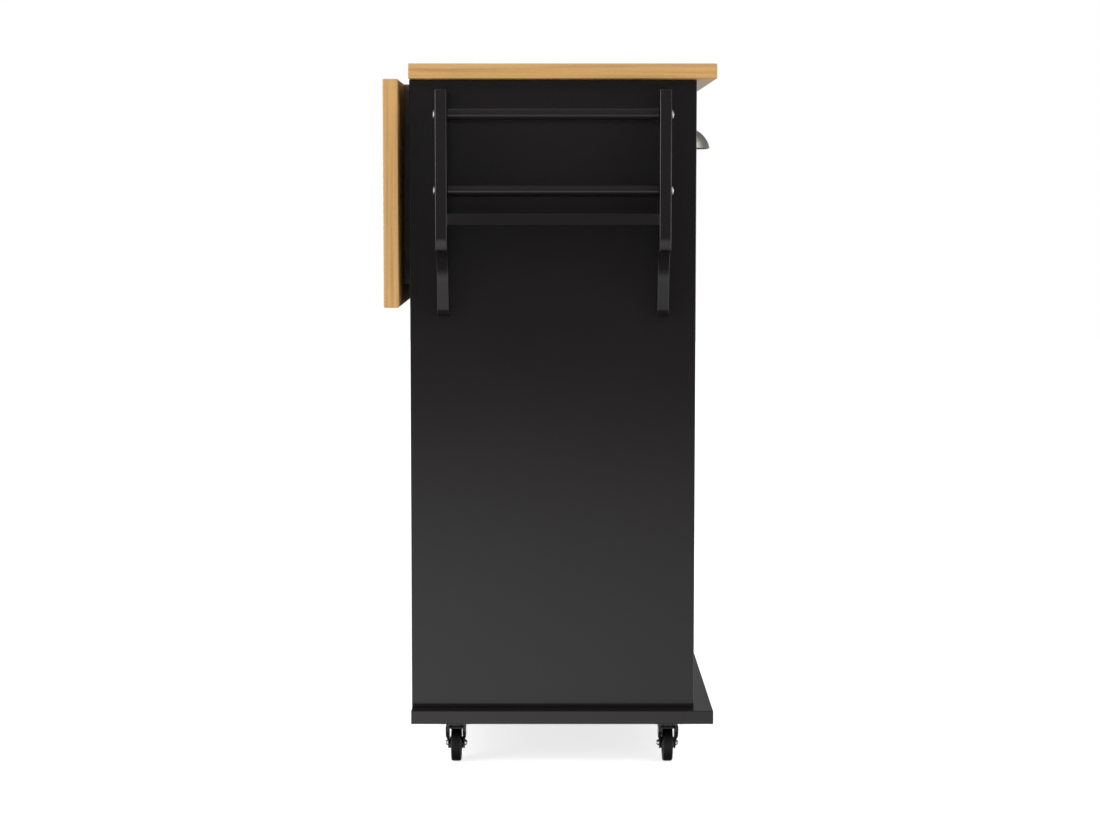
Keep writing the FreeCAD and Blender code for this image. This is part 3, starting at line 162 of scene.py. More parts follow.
def ramp(tree, factor, stops):
    """A colour ramp from (place, hex colour) stops."""
    made = add(tree, "ShaderNodeValToRGB", {"Fac": factor})
    band = made.color_ramp
    while len(band.elements) < len(stops):
        band.elements.new(1.0)
    for element, (place, colour) in zip(band.elements, stops):
        element.position = place
        element.color = linear(colour)
    return made.outputs["Color"]


def bumped(tree, shader, height, depth):
    """Give the shader a bump whose height of 1 stands for a real depth in metres."""
    bump = add(tree, "ShaderNodeBump", {"Height": height, "Distance": depth, "Strength": 1.0})
    tree.links.new(bump.outputs[0], shader.inputs["Normal"])


def varied(tree, shader, socket, factor, low, high):
    """Let a shader number run between low and high with a factor of 0 to 1."""
    spread = add(tree, "ShaderNodeMapRange", {0: factor, 3: low, 4: high})
    tree.links.new(spread.outputs[0], shader.inputs[socket])


def satin_lacquer():
    """Satin black lacquer sprayed on fibreboard: even, with a very fine orange peel."""
    material, tree, shader = new_material("satin_black_lacquer")
    shader.inputs["Base Color"].default_value = linear(PAINT_BLACK)
    place = add(tree, "ShaderNodeTexCoord").outputs["Object"]
    # Orange peel: shallow cells that break up the edges of reflections
    peel_cell, peel_depth, drift_cell = 3.03 * MM, 6 * MICRON, 142.9 * MM
    peel = add(tree, "ShaderNodeTexNoise", {"Vector": place, "Scale": 1 / peel_cell, "Detail": 2.0})
    bumped(tree, shader, peel.outputs["Fac"], peel_depth)
    # Slow drift of the sheen, as a spray gun leaves it
    drift = add(tree, "ShaderNodeTexNoise", {"Vector": place, "Scale": 1 / drift_cell,
                                             "Detail": 3.0})
    varied(tree, shader, "Roughness", drift.outputs["Fac"], 0.13, 0.17)
    return material


def grain(tree, along, across, shift, stretch):
    """Wood figure and pores, as two factors: noise drawn out along the grain.

    stretch is the width of a streak over its length.
    """
    streak_width, wave_length, wave_height = 4.762 * MM, 333.3 * MM, 12 * MM
    pore_width, pore_stretch = 0.5263 * MM, 0.06
    spot = add(tree, "ShaderNodeCombineXYZ", {0: along, 1: across, 2: shift})
    # Growth figure: long streaks, bent by a slow wave
    wave = add(tree, "ShaderNodeTexNoise", {"Vector": spot.outputs[0], "Scale": 1 / wave_length,
                                            "Detail": 1.0})
    bent = add(tree, "ShaderNodeMath", {0: wave.outputs["Fac"], 1: wave_height, 2: across},
               operation="MULTIPLY_ADD")
    drawn = add(tree, "ShaderNodeMath", {0: along, 1: stretch}, operation="MULTIPLY")
    line = add(tree, "ShaderNodeCombineXYZ", {0: drawn.outputs[0], 1: bent.outputs[0], 2: shift})
    figure = add(tree, "ShaderNodeTexNoise", {"Vector": line.outputs[0], "Scale": 1 / streak_width,
                                              "Detail": 4.0, "Roughness": 0.55})
    # Pores: dashes about 9 mm long
    fine = add(tree, "ShaderNodeMath", {0: along, 1: pore_stretch}, operation="MULTIPLY")
    dash = add(tree, "ShaderNodeCombineXYZ", {0: fine.outputs[0], 1: across, 2: shift})
    pores = add(tree, "ShaderNodeTexNoise", {"Vector": dash.outputs[0], "Scale": 1 / pore_width,
                                             "Detail": 1.0})
    return figure.outputs["Fac"], pores.outputs["Fac"]


def lacquered_wood(name, stops, staves):
    """Clear-lacquered rubberwood, glued up from staves where staves is true.

    The board's own UV map gives metres along the grain and across it.
    """
    material, tree, shader = new_material(name)
    place = add(tree, "ShaderNodeUVMap", uv_map="grain").outputs[0]
    parts = add(tree, "ShaderNodeSeparateXYZ", {0: place})
    along, across = parts.outputs[0], parts.outputs[1]
    stave_width, stave_length, glue_line = 42 * MM, 460 * MM, 0.3 * MM
    stretch, stave_shift, tone_spread, pore_shade = 0.017, 7.0, 0.34, 0.82
    if staves:
        # Each row of staves starts at its own place, and each stave has a number of its own
        row_at = add(tree, "ShaderNodeMath", {0: across, 1: 1 / stave_width}, operation="MULTIPLY")
        row = add(tree, "ShaderNodeMath", {0: row_at.outputs[0]}, operation="FLOOR")
        row_luck = add(tree, "ShaderNodeTexWhiteNoise", {"W": row.outputs[0]},
                       noise_dimensions="1D")
        stave_at = add(tree, "ShaderNodeMath", {0: along, 1: 1 / stave_length,
                                                2: row_luck.outputs["Value"]},
                       operation="MULTIPLY_ADD")
        stave = add(tree, "ShaderNodeMath", {0: stave_at.outputs[0]}, operation="FLOOR")
        cell = add(tree, "ShaderNodeCombineXYZ", {0: row.outputs[0], 1: stave.outputs[0]})
        luck = add(tree, "ShaderNodeTexWhiteNoise", {"Vector": cell.outputs[0]},
                   noise_dimensions="3D").outputs["Value"]
        shift = add(tree, "ShaderNodeMath", {0: luck, 1: stave_shift},
                    operation="MULTIPLY").outputs[0]
        # Glue lines along the rows and across the butt joints
        lines = []
        for at, size in ((row_at, stave_width), (stave_at, stave_length)):
            left = add(tree, "ShaderNodeMath", {0: at.outputs[0]}, operation="FRACT")
            off = add(tree, "ShaderNodeMath", {0: left.outputs[0], 1: 0.5}, operation="SUBTRACT")
            far = add(tree, "ShaderNodeMath", {0: off.outputs[0]}, operation="ABSOLUTE")
            edge = 0.5 - glue_line / 2 / size
            lines.append(add(tree, "ShaderNodeMath", {0: far.outputs[0], 1: edge},
                             operation="GREATER_THAN").outputs[0])
        seam = add(tree, "ShaderNodeMath", {0: lines[0], 1: lines[1]}, operation="MAXIMUM")
    else:
        shift = 0.0
    figure, pores = grain(tree, along, across, shift, stretch)
    tint = figure
    if staves:
        # The stave's own tone moves the figure up or down
        own = add(tree, "ShaderNodeMath", {0: luck, 1: tone_spread, 2: -tone_spread / 2},
                  operation="MULTIPLY_ADD")
        tint = add(tree, "ShaderNodeMath", {0: figure, 1: own.outputs[0]}).outputs[0]
    colour = ramp(tree, tint, stops)
    dash = add(tree, "ShaderNodeMapRange", {0: pores, 1: 0.30, 2: 0.40, 3: pore_shade, 4: 1.0})
    toned = add(tree, "ShaderNodeMix", {0: 1.0, 6: colour, 7: dash.outputs[0]},
                data_type="RGBA", blend_type="MULTIPLY")
    last = toned.outputs[2]
    if staves:
        last = add(tree, "ShaderNodeMix", {0: seam.outputs[0], 6: last, 7: linear(GLUE_LINE)},
                   data_type="RGBA").outputs[2]
    tree.links.new(last, shader.inputs["Base Color"])
    shader.inputs["Coat Weight"].default_value = 0.25
    shader.inputs["Coat Roughness"].default_value = 0.22
    varied(tree, shader, "Roughness", figure, 0.36, 0.46)
    bumped(tree, shader, pores, 20 * MICRON)
    return material


def plywood(name, upright):
    """Birch plywood with one thin coat: pale, with a soft straight figure.

    The figure runs level on upright boards, and along Y on a board that lies flat.
    """
    material, tree, shader = new_material(name)
    place = add(tree, "ShaderNodeTexCoord").outputs["Object"]
    parts = add(tree, "ShaderNodeSeparateXYZ", {0: place}).outputs
    level = add(tree, "ShaderNodeMath", {0: parts[0], 1: parts[1]}).outputs[0]
    along, across = (level, parts[2]) if upright else (parts[1], parts[0])
    figure, pores = grain(tree, along, across, 0.0, 0.04)
    colour = ramp(tree, figure, ((0.25, PLY_DARK), (0.65, PLY_PALE)))
    tree.links.new(colour, shader.inputs["Base Color"])
    varied(tree, shader, "Roughness", pores, 0.5, 0.62)
    bumped(tree, shader, pores, 30 * MICRON)
    return material


def plated(name, colour, rough_low, rough_high, line_width, depth, metallic=1.0):
    """Plated or bare metal, with fine lines of polishing or rolling along X."""
    material, tree, shader = new_material(name)
    shader.inputs["Base Color"].default_value = linear(colour)
    shader.inputs["Metallic"].default_value = metallic
    place = add(tree, "ShaderNodeTexCoord").outputs["Object"]
    line_stretch, patch_size = 0.04, 16.67 * MM
    drawn = add(tree, "ShaderNodeMapping", {"Vector": place, "Scale": (line_stretch, 1.0, 1.0)})
    lines = add(tree, "ShaderNodeTexNoise", {"Vector": drawn.outputs[0], "Scale": 1 / line_width,
                                             "Detail": 3.0})
    bumped(tree, shader, lines.outputs["Fac"], depth)
    patch = add(tree, "ShaderNodeTexNoise", {"Vector": place, "Scale": 1 / patch_size,
                                             "Detail": 3.0})
    varied(tree, shader, "Roughness", patch.outputs["Fac"], rough_low, rough_high)
    return material


def moulded(name, colour, rough_low, rough_high, grit, gloss=0.5):
    """Coated steel, moulded plastic or rubber: an even colour with a fine grit in the sheen."""
    material, tree, shader = new_material(name)
    shader.inputs["Base Color"].default_value = linear(colour)
    shader.inputs["Specular IOR Level"].default_value = gloss
    place = add(tree, "ShaderNodeTexCoord").outputs["Object"]
    speck = add(tree, "ShaderNodeTexNoise", {"Vector": place, "Scale": 1 / grit, "Detail": 2.0})
    varied(tree, shader, "Roughness", speck.outputs["Fac"], rough_low, rough_high)
    bumped(tree, shader, speck.outputs["Fac"], 10 * MICRON)
    return material


STAVE_STOPS = ((0.18, TOP_WOOD_STREAK), (0.45, TOP_WOOD_MID), (0.80, TOP_WOOD_PALE))
BAND_STOPS = ((0.25, BAND_STREAK), (0.50, BAND_WOOD), (0.80, BAND_PALE))
stave_wood = lacquered_wood("lacquered_staves", STAVE_STOPS, True)
band_wood = lacquered_wood("lacquered_edge_band", BAND_STOPS, False)
flat_plywood = plywood("birch_plywood_bottom", False)
# How far apart the lines that rolling leaves on sheet steel are
ROLLED = 1.4286 * MM
nylon = moulded("moulded_black_nylon", NYLON_BLACK, 0.40, 0.50, 0.9 * MM)
# The caster plates are darker than other plated parts: painted shade, standing in for the shade
# under the base board
shade_painted_plate_zinc = plated("zinc_darkened_by_painted_shade", PLATE_ZINC_SHADED, 0.35, 0.48, ROLLED, 6 * MICRON, 0.6)
FINISHES = {
    "top_wood": stave_wood,
    "black_paint": satin_lacquer(),
    "drawer_wood": plywood("birch_plywood_boards", True),
    "nickel": plated("brushed_nickel", NICKEL, 0.42, 0.52, 1.111 * MM, 6 * MICRON),
    # Zinc dulled by its own white film, which is no metal
    "bracket_steel": plated("dull_zinc_on_steel", DULL_ZINC, 0.45, 0.60, 2 * MM, 8 * MICRON, 0.45),
    "runner_steel": plated("zinc_on_rolled_steel", BRIGHT_ZINC, 0.28, 0.40, ROLLED, 6 * MICRON, 0.7),
    "hinge_steel": plated("blackened_steel", BLACK_STEEL, 0.38, 0.50, ROLLED, 6 * MICRON),
    "fastener_steel": plated("bright_zinc_screw", SCREW_ZINC, 0.16, 0.26, 0.8333 * MM, 3 * MICRON),
    "caster_steel": moulded("black_coated_steel", COATED_BLACK, 0.22, 0.32, 0.8 * MM),
    "wheel_rubber": moulded("black_rubber", RUBBER_BLACK, 0.45, 0.60, 0.5 * MM, 0.25),
    "catch_plastic": moulded("moulded_black_abs", CATCH_BLACK, 0.38, 0.48, 0.7 * MM),
}

# Nodes whose finish differs from the others of their slot, among them the caster plates in zinc
# darkened as painted shade
NODE_FINISHES = {"caster_plates": shade_painted_plate_zinc, "drawer_left_bottom": flat_plywood,
                 "drawer_right_bottom": flat_plywood}

# How far the edges of each finish are rounded: boards are sanded, and pressed steel is deburred
EDGES = {"black_paint": 0.8 * MM, "drawer_wood": 0.5 * MM, "bracket_steel": 0.25 * MM,
         "runner_steel": 0.2 * MM, "hinge_steel": 0.2 * MM, "catch_plastic": 0.4 * MM}
FORK_EDGE = 0.4 * MM
WHEEL_EDGE = 0.25 * MM
BOARD_EDGE = 1.5 * MM
# Points of two solids that touch lie closer together than this
MERGE = 0.001 * MM


# Nodes, points and faces

def body_of(node):
    """The body that a node rides on."""
    return frame["nodes"][node]["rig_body"]


def corners_of(node):
    """A node's lowest and highest corners as arrays."""
    low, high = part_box(node)
    return np.array(low), np.array(high)


def piece(name, points, faces, slot, body):
    """A mesh object with its finish, riding on its body."""
    mesh = bpy.data.meshes.new(name)
    mesh.from_pydata(np.asarray(points).tolist(), [], faces)
    mesh.validate()
    made = bpy.data.objects.new(name, mesh)
    bpy.context.scene.collection.objects.link(made)
    mesh.materials.append(FINISHES[slot])
    mesh.shade_smooth()
    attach(made, body)
    return made


def grid_faces(rows, columns, closed):
    """Quads of a grid of points, whose rows close into rings where closed is true."""
    row, column = np.mgrid[0:rows - 1, 0:columns if closed else columns - 1]
    right = (column + 1) % columns
    quads = np.stack([row * columns + column, row * columns + right,
                      (row + 1) * columns + right, (row + 1) * columns + column], axis=-1)
    return quads.reshape(-1, 4)


def axes_about(axis):
    """Two unit vectors square to an axis and to each other, right-handed with it."""
    axis = np.asarray(axis, float)
    side = np.cross(UP, axis) if abs(axis[2]) < 0.9 else np.array([1.0, 0.0, 0.0])
    side = side / np.linalg.norm(side)
    return side, np.cross(axis, side)


def full_turn(segments):
    """Even angles all the way round."""
    return np.linspace(0, 2 * math.pi, segments, endpoint=False)


def rings(radius, height, centre, axis):
    """Rings about an axis, joined by quads and closed by a disc at each end.

    radius and height have a row for each ring and a column for each angle t. Point = centre +
    radius * (cos t * side + sin t * other) + height * axis.
    """
    count, segments = radius.shape
    angle = full_turn(segments)
    side, other = axes_about(axis)
    points = (np.asarray(centre) + radius[..., None] * (np.cos(angle)[:, None] * side
              + np.sin(angle)[:, None] * other) + height[..., None] * np.asarray(axis, float))
    faces = grid_faces(count, segments, True)[:, ::-1].tolist()
    faces.append(list(range(segments)))
    faces.append(list(range(count * segments - 1, (count - 1) * segments - 1, -1)))
    return points.reshape(-1, 3), faces


def spread(profile, segments):
    """Radii and heights of the rings that a profile of (radius, height) makes when turned."""
    return (np.repeat(column[:, None], segments, axis=1) for column in np.transpose(profile))


def joined(shapes):
    """Several (points, faces) as one."""
    points, faces, first = [], [], 0
    for some_points, some_faces in shapes:
        points.append(some_points)
        faces += [[index + first for index in face] for face in some_faces]
        first += len(some_points)
    return np.concatenate(points), faces


def face_centres(made):
    """The middle of each face of a mesh object, as rows."""
    flat = np.zeros(len(made.data.polygons) * 3)
    made.data.polygons.foreach_get("center", flat)
    return flat.reshape(-1, 3)


def outward(made):
    """Turn all faces of a closed mesh outwards."""
    work = bmesh.new()
    work.from_mesh(made.data)
    bmesh.ops.recalc_face_normals(work, faces=work.faces)
    work.to_mesh(made.data)
    work.free()


def round_edges(made, name, width, segments, sharp):
    """A bevel on all edges sharper than an angle."""
    bevel = made.modifiers.new(name, "BEVEL")
    bevel.width = width
    bevel.segments = segments
    bevel.limit_method = "ANGLE"
    bevel.angle_limit = sharp
    return bevel


def set_apart(work):
    """Give each solid points of its own where two solids touch at a corner or an edge.

    Dictionaries hold the faces, since they keep their order and each run then gives the same.
    """
    left = dict.fromkeys(work.faces)
    solids = []
    while left:
        solid, waiting = [], [left.popitem()[0]]
        while waiting:
            face = waiting.pop()
            solid.append(face)
            beside = dict.fromkeys(other for edge in face.edges if len(edge.link_faces) == 2
                                   for other in edge.link_faces if other in left)
            for other in beside:
                del left[other]
            waiting += beside
        solids.append(solid)
    for solid in solids[1:]:
        bmesh.ops.split(work, geom=solid)


def eased(node, width, clamped=True, reshape=None):
    """A copy of a solid with its loose triangles merged and its sharp edges rounded.

    reshape may move the merged points. Where clamped is true, the shortest edge of the solid
    limits the width.
    """
    source = frame["nodes"][node]
    made = bpy.data.objects.new(f"{node}_eased", source.data.copy())
    bpy.context.scene.collection.objects.link(made)
    work = bmesh.new()
    work.from_mesh(made.data)
    bmesh.ops.remove_doubles(work, verts=work.verts, dist=MERGE)
    set_apart(work)
    flat, sharp = math.radians(0.5), math.radians(35)
    bmesh.ops.dissolve_limit(work, angle_limit=flat, verts=work.verts, edges=work.edges)
    work.to_mesh(made.data)
    work.free()
    if reshape:
        points = np.zeros(len(made.data.vertices) * 3)
        made.data.vertices.foreach_get("co", points)
        made.data.vertices.foreach_set("co", reshape(points.reshape(-1, 3)).ravel())
    made.data.shade_smooth()
    made.data.set_sharp_from_angle(angle=sharp)
    round_edges(made, "eased_edges", width, 2, sharp).use_clamp_overlap = clamped
    # Flat faces stay flat in the light, and only the rounded edges turn
    made.modifiers.new("flat_faces", "WEIGHTED_NORMAL").keep_sharp = True
    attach(made, body_of(node))
    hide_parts(node)
    return made


# Rack brackets

def rack_bracket(node):
    """A rack bracket with a fuller belly than its solid, over a cove that ends lower.

    Below the straight front, the belly keeps a share of its recess from the front edge:
    x = front + share * (x - front). The cove under it is stretched downwards:
    z = belly's end + stretch * (z - belly's end).
    """
    low, high = corners_of(node)
    front = low[0] if low[0] < 0 else high[0]
    # Heights above the lower end of the foot
    belly_top, belly_end, cove_end = low[2] + np.array([106, 88, 58]) * MM
    recess_share, stretch, near = 0.28, 1.42, 0.01 * MM

    def fuller(points):
        x, z = points[:, 0], points[:, 2]
        on_belly = (z < belly_top) & (z > belly_end - near)
        on_cove = (z < belly_end - near) & (z > cove_end - near)
        return np.stack([np.where(on_belly, front + recess_share * (x - front), x), points[:, 1],
                         np.where(on_cove, belly_end + stretch * (z - belly_end), z)], -1)

    # The short edges of the bolt holes would hold the bevel back, so it isn't clamped
    eased(node, EDGES["black_paint"], clamped=False, reshape=fuller)


# Worktop and leaf

def edge_steps(low, high, radius):
    """Places along one side of a board: close together in the rounded edges, none between."""
    turn = np.tan(np.radians([45, 30, 15, 0]))
    near = low + radius * (1 - turn)
    return np.concatenate([near, (low + high - near)[::-1]])


def rounded_board(node, radius, end_grain):
    """A board with rounded edges, in place of a node.

    A point of the plain box is pulled to its nearest point of the box shrunk by the radius, and
    pushed out again by the radius along that line. end_grain is the axis that the grain of the
    two end faces follows; on the other faces it follows X.
    """
    low, high = corners_of(node)
    lines = [edge_steps(low[axis], high[axis], radius) for axis in range(3)]
    # Each face shows another stretch of the grain, this many metres further on
    axis_offset, side_offset = 0.37, 1.3
    points, faces, grain_map, kinds = [], [], [], []
    for axis in range(3):
        first, second = [other for other in range(3) if other != axis]
        a, b = np.meshgrid(lines[first], lines[second], indexing="ij")
        along = end_grain if axis == 0 else 0
        across = [other for other in range(3) if other not in (axis, along)][0]
        for level in (low[axis], high[axis]):
            flat = np.zeros(a.shape + (3,))
            flat[..., first], flat[..., second], flat[..., axis] = a, b, level
            core = np.clip(flat, low + radius, high - radius)
            out = flat - core
            out /= np.linalg.norm(out, axis=-1, keepdims=True)
            start = sum(len(block) for block in points)
            # The corners of each quad go round so that it faces outwards
            order = [1, 2, 3, 0] if (level == low[axis]) != (axis == 1) else [0, 3, 2, 1]
            quads = start + grid_faces(*a.shape, False)[:, order]
            points.append((core + radius * out).reshape(-1, 3))
            offset = axis_offset * axis + (side_offset if level == high[axis] else 0.0)
            grain_map.append(np.stack([flat[..., along] + offset,
                                       flat[..., across] + offset], -1).reshape(-1, 2))
            faces += quads.tolist()
            kinds += [int(axis == 0)] * len(quads)
    made = piece(node + "_board", np.concatenate(points), faces, "top_wood", body_of(node))
    made.data.materials.append(band_wood)
    made.data.polygons.foreach_set("material_index", kinds)
    layer = made.data.uv_layers.new(name="grain")
    corner_points = np.zeros(len(made.data.loops), int)
    made.data.loops.foreach_get("vertex_index", corner_points)
    layer.data.foreach_set("uv", np.concatenate(grain_map)[corner_points].ravel())
    work = bmesh.new()
    work.from_mesh(made.data)
    bmesh.ops.remove_doubles(work, verts=work.verts, dist=MERGE)
    work.to_mesh(made.data)
    work.free()
    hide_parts(node)


# Pulls, knobs and fastener heads

def cup_pull(node):
    """A cup pull pressed from one sheet, in place of a node.

    The hood is a stack of levels on an arc: height = centre's height + bulge * sin t, and reach
    from the drawer front = centre's reach + bulge * cos t. Each level is a straight run with a
    quarter circle of its reach at each end.
    """
    low, high = corners_of(node)
    reach, tall = high[1] - low[1], high[2] - low[2]
    middle = (high[0] - low[0]) / 2 - reach
    bulge, wall, rim = 35 * MM, 2 * MM, 0.6 * MM
    level_count, quarter_count = 13, 12
    # Centre of the arc through (reach, 0) and (0, tall)
    half_chord = math.hypot(reach, tall) / 2
    inset = math.sqrt(bulge ** 2 - half_chord ** 2)
    slope = np.array([tall, reach]) / math.hypot(reach, tall)
    centre = np.array([reach, tall]) / 2 - inset * slope
    start = math.atan2(-centre[1], reach - centre[0])
    end = math.atan2(tall - centre[1], -centre[0])
    turn = np.linspace(start, end, level_count, endpoint=False)
    levels = centre[1] + bulge * np.sin(turn)
    reaches = centre[0] + bulge * np.cos(turn)
    quarter = np.linspace(0, math.pi / 2, quarter_count)
    x = (np.repeat([-middle, middle], quarter_count)
         + np.concatenate([-np.cos(quarter), np.sin(quarter)]) * reaches[:, None])
    y = np.concatenate([-np.sin(quarter), -np.cos(quarter)]) * reaches[:, None]
    z = np.repeat(levels[:, None], 2 * quarter_count, axis=1)
    # The apex is one straight line against the drawer front, and the last level runs up to it
    peak = np.array([[-middle, 0, tall], [middle, 0, tall]])
    tip, last = x.size, x.size - 2 * quarter_count
    faces = grid_faces(*x.shape, False).tolist()
    faces += [[last + i, last + i + 1, tip] for i in range(quarter_count - 1)]
    faces.append([last + quarter_count - 1, last + quarter_count, tip + 1, tip])
    faces += [[last + i, last + i + 1, tip + 1]
              for i in range(quarter_count, 2 * quarter_count - 1)]
    origin = np.array([(low[0] + high[0]) / 2, high[1], low[2]])
    points = np.concatenate([np.stack([x, y, z], -1).reshape(-1, 3), peak]) + origin
    made = piece(node + "_hood", points, faces, "nickel", body_of(node))
    shell = made.modifiers.new("sheet", "SOLIDIFY")
    shell.thickness = wall
    shell.offset = -1.0
    round_edges(made, "rim", rim, 3, math.radians(50)).harden_normals = True
    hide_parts(node)


def arc(centre, radius, first, last, count):
    """Points of an arc in a profile, angles in degrees."""
    angle = np.radians(np.linspace(first, last, count))
    return np.stack([centre[0] + radius * np.cos(angle), centre[1] + radius * np.sin(angle)], -1)


def knob(node):
    """A turned and plated door knob: foot, neck and a domed head."""
    low, high = corners_of(node)
    centre = np.array([(low[0] + high[0]) / 2, high[1], (low[2] + high[2]) / 2])
    radius, tall = (high[0] - low[0]) / 2, high[1] - low[1]
    foot, neck, edge, dome = 0.64 * radius, 0.42 * radius, 0.12 * radius, 1.55 * radius
    foot_top, hollow, hollow_middle, head_edge = 0.1 * tall, 0.3 * tall, 0.42 * tall, 0.76 * tall
    profile = np.concatenate([
        [(foot, 0.0)],
        arc((foot - edge, foot_top), edge, 0, 80, 5),
        arc((neck + hollow, hollow_middle), hollow, 235, 140, 9),
        arc((radius - edge, head_edge), edge, -60, 40, 6),
        arc((0.0, tall - dome), dome, 59, 88, 9)])
    points, faces = rings(*spread(profile, 64), centre, (0, -1, 0))
    made = piece(node + "_turned", points, faces, "nickel", body_of(node))
    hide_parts(node)


def drive_edge(kind, size, angle):
    """Radius of the recess at each angle: a hexagon's side, or the arms of a cross."""
    if kind == "hex":
        return size / np.cos((angle % (math.pi / 3)) - math.pi / 6)
    off = (angle + math.pi / 4) % (math.pi / 2) - math.pi / 4
    half_arm = 0.28 * size
    return np.minimum(size, half_arm / np.maximum(np.abs(np.sin(off)), 0.01))


def fastener_head(centre, axis, radius, rise, kind):
    """A domed head with its drive recess, pointing along the axis from its seat."""
    segments = 48
    recess = drive_edge(kind, 0.46 * radius, full_turn(segments))
    # The seat and the dome, as shares of the radius and the rise
    step = np.linspace(0, 1, 6)
    around = np.concatenate([[0.98], 1 - 0.34 * step ** 2])
    # The recess: its mouth, chamfer and floor, as shares of its own size and the rise
    inside = np.array([1.0, 0.93, 0.75])
    levels = np.concatenate([[0.0], 0.45 + 0.5 * step, [1.0, 0.92, 0.35]])
    radii = np.concatenate([np.outer(around, np.full(segments, radius)), np.outer(inside, recess)])
    return rings(radii, np.outer(levels, np.full(segments, rise)), centre, axis)


def heads(name, spots, axis_of, radius, rise, kind, node):
    """The heads of a group of fasteners as one piece, in place of their node."""
    shapes = [fastener_head(spot, axis_of(spot), radius, rise, kind) for spot in spots]
    made = piece(name, *joined(shapes), "fastener_steel", body_of(node))
    outward(made)
    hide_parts(node)


def rack_heads():
    """Domed socket heads outside the rack brackets, on the middle of each rail."""
    spots = []
    for side, rails in (("spice", 2), ("towel", 1)):
        low, high = corners_of(f"{side}_rails")
        half = (high[0] - low[0]) / 2
        levels = (low[2] + half, high[2] - half)[:rails]
        front = corners_of(f"{side}_bracket_front")[0][1]
        back = corners_of(f"{side}_bracket_back")[1][1]
        spots += [((low[0] + high[0]) / 2, y, z) for z in levels for y in (front, back)]
    middle = np.mean([spot[1] for spot in spots])
    radius, rise = 6.1 * MM, 3.8 * MM
    heads("rack_bolt_heads", spots, lambda spot: (0, np.sign(spot[1] - middle), 0), radius, rise,
          "hex", "rack_bolts")


def flange_heads(node):
    """Low cross-recessed heads at the four corners of a group of screws, seen from behind."""
    low, high = corners_of(node)
    radius, rise = 3.6 * MM, 1.3 * MM
    points_back = node.startswith("wall")
    seat = high[1] - rise if points_back else low[1] + rise
    spots = [(x, seat, z) for x in (low[0] + radius, high[0] - radius)
             for z in (low[2] + radius, high[2] - radius)]
    way = 1 if points_back else -1
    heads(node + "_heads", spots, lambda spot: (0, way, 0), radius, rise, "cross", node)


def plate_heads():
    """Four pan heads under each caster plate, round its swivel."""
    radius, rise, reach = 3.8 * MM, 2.2 * MM, 16.5 * MM
    seat = corners_of("caster_screws")[0][2] + rise
    spots = []
    for joint in frame["joints"]:
        if joint["name"].endswith("_swivel"):
            x, y = joint["pos_m"][:2]
            spots += [(x + a * reach, y + b * reach, seat) for a in (-1, 1) for b in (-1, 1)]
    heads("caster_screw_heads", spots, lambda spot: (0, 0, -1), radius, rise, "cross",
          "caster_screws")


# Casters

def wheel(node):
    """A caster wheel: rubber tyre with rounded shoulders on a ribbed nylon core."""
    low, high = corners_of(node)
    centre = (low + high) / 2
    radius, hub_half = (high[2] - low[2]) / 2, (high[1] - low[1]) / 2
    tread = hub_half - 1.9 * MM
    shoulder, rim, hub, bore, web = 3 * MM, 19 * MM, 8 * MM, 3.1 * MM, 4 * MM
    ribs, rib_rise, segments = 6, 1.5 * MM, 96
    # Hub with a chamfer, web, the rim's sloping wall and lip, a groove beside the tyre, the tyre
    half = np.concatenate([
        [(bore, hub_half), (hub - 0.6 * MM, hub_half), (hub, hub_half - 0.6 * MM), (hub, web),
         (rim - 1.2 * MM, web), (rim - 0.6 * MM, tread - 0.8 * MM), (rim, tread - 0.5 * MM),
         (rim + 0.2 * MM, tread - 0.9 * MM), (rim + 0.5 * MM, tread)],
        arc((radius - shoulder, tread - shoulder), shoulder, 90, 0, 7)])
    profile = np.concatenate([half, half[::-1] * [1, -1]])
    radii, heights = spread(profile, segments)
    # Ribs stand on the web between the hub and the rim
    stand = np.clip(3 * np.cos(ribs * full_turn(segments)) - 2, 0, 1)
    on_web = np.abs(np.abs(heights) - web) < 0.01 * MM
    heights = heights + np.sign(heights) * on_web * stand * rib_rise
    points, faces = rings(radii, heights, centre, (0, 1, 0))
    # The bore stays a hole, so one ring takes the place of the two discs that close the ends
    last = (len(profile) - 1) * segments
    turn = range(segments)
    faces = faces[:-2] + [[i, (i + 1) % segments, last + (i + 1) % segments, last + i] for i in turn]
    made = piece(node + "_tyre", points, faces, "wheel_rubber", body_of(node))
    made.data.materials.append(nylon)
    away = face_centres(made) - centre
    inner = (np.hypot(away[:, 0], away[:, 2]) < rim).astype(int)
    made.data.polygons.foreach_set("material_index", inner.tolist())
    outward(made)
    round_edges(made, "soft_edges", WHEEL_EDGE, 2, math.radians(40)).harden_normals = True
    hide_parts(node)


def fork(node, wheel_node):
    """A pressed fork in black coat, with its axle bolt left in bright zinc."""
    made = eased(node, FORK_EDGE)
    made.data.materials.append(FINISHES["fastener_steel"])
    low, high = corners_of(wheel_node)
    axle, hub_half = (low + high) / 2, (high[1] - low[1]) / 2
    leg_and_gap, head_radius = 2.42 * MM, 5.2 * MM
    away = face_centres(made) - axle
    # The bolt's heads are all that lies outside the legs and near the axle's line
    outside = np.abs(away[:, 1]) > hub_half + leg_and_gap
    near = np.hypot(away[:, 0], away[:, 2]) < head_radius
    made.data.polygons.foreach_set("material_index", (outside & near).astype(int).tolist())


# Stage, light and camera

def in_sight(tree, path):
    """1 for what the camera sees, straight or through glass, and 0 for all other rays."""
    return add(tree, "ShaderNodeMath", {0: path.outputs["Is Camera Ray"],
                                        1: path.outputs["Is Transmission Ray"]},
               operation="MAXIMUM").outputs[0]


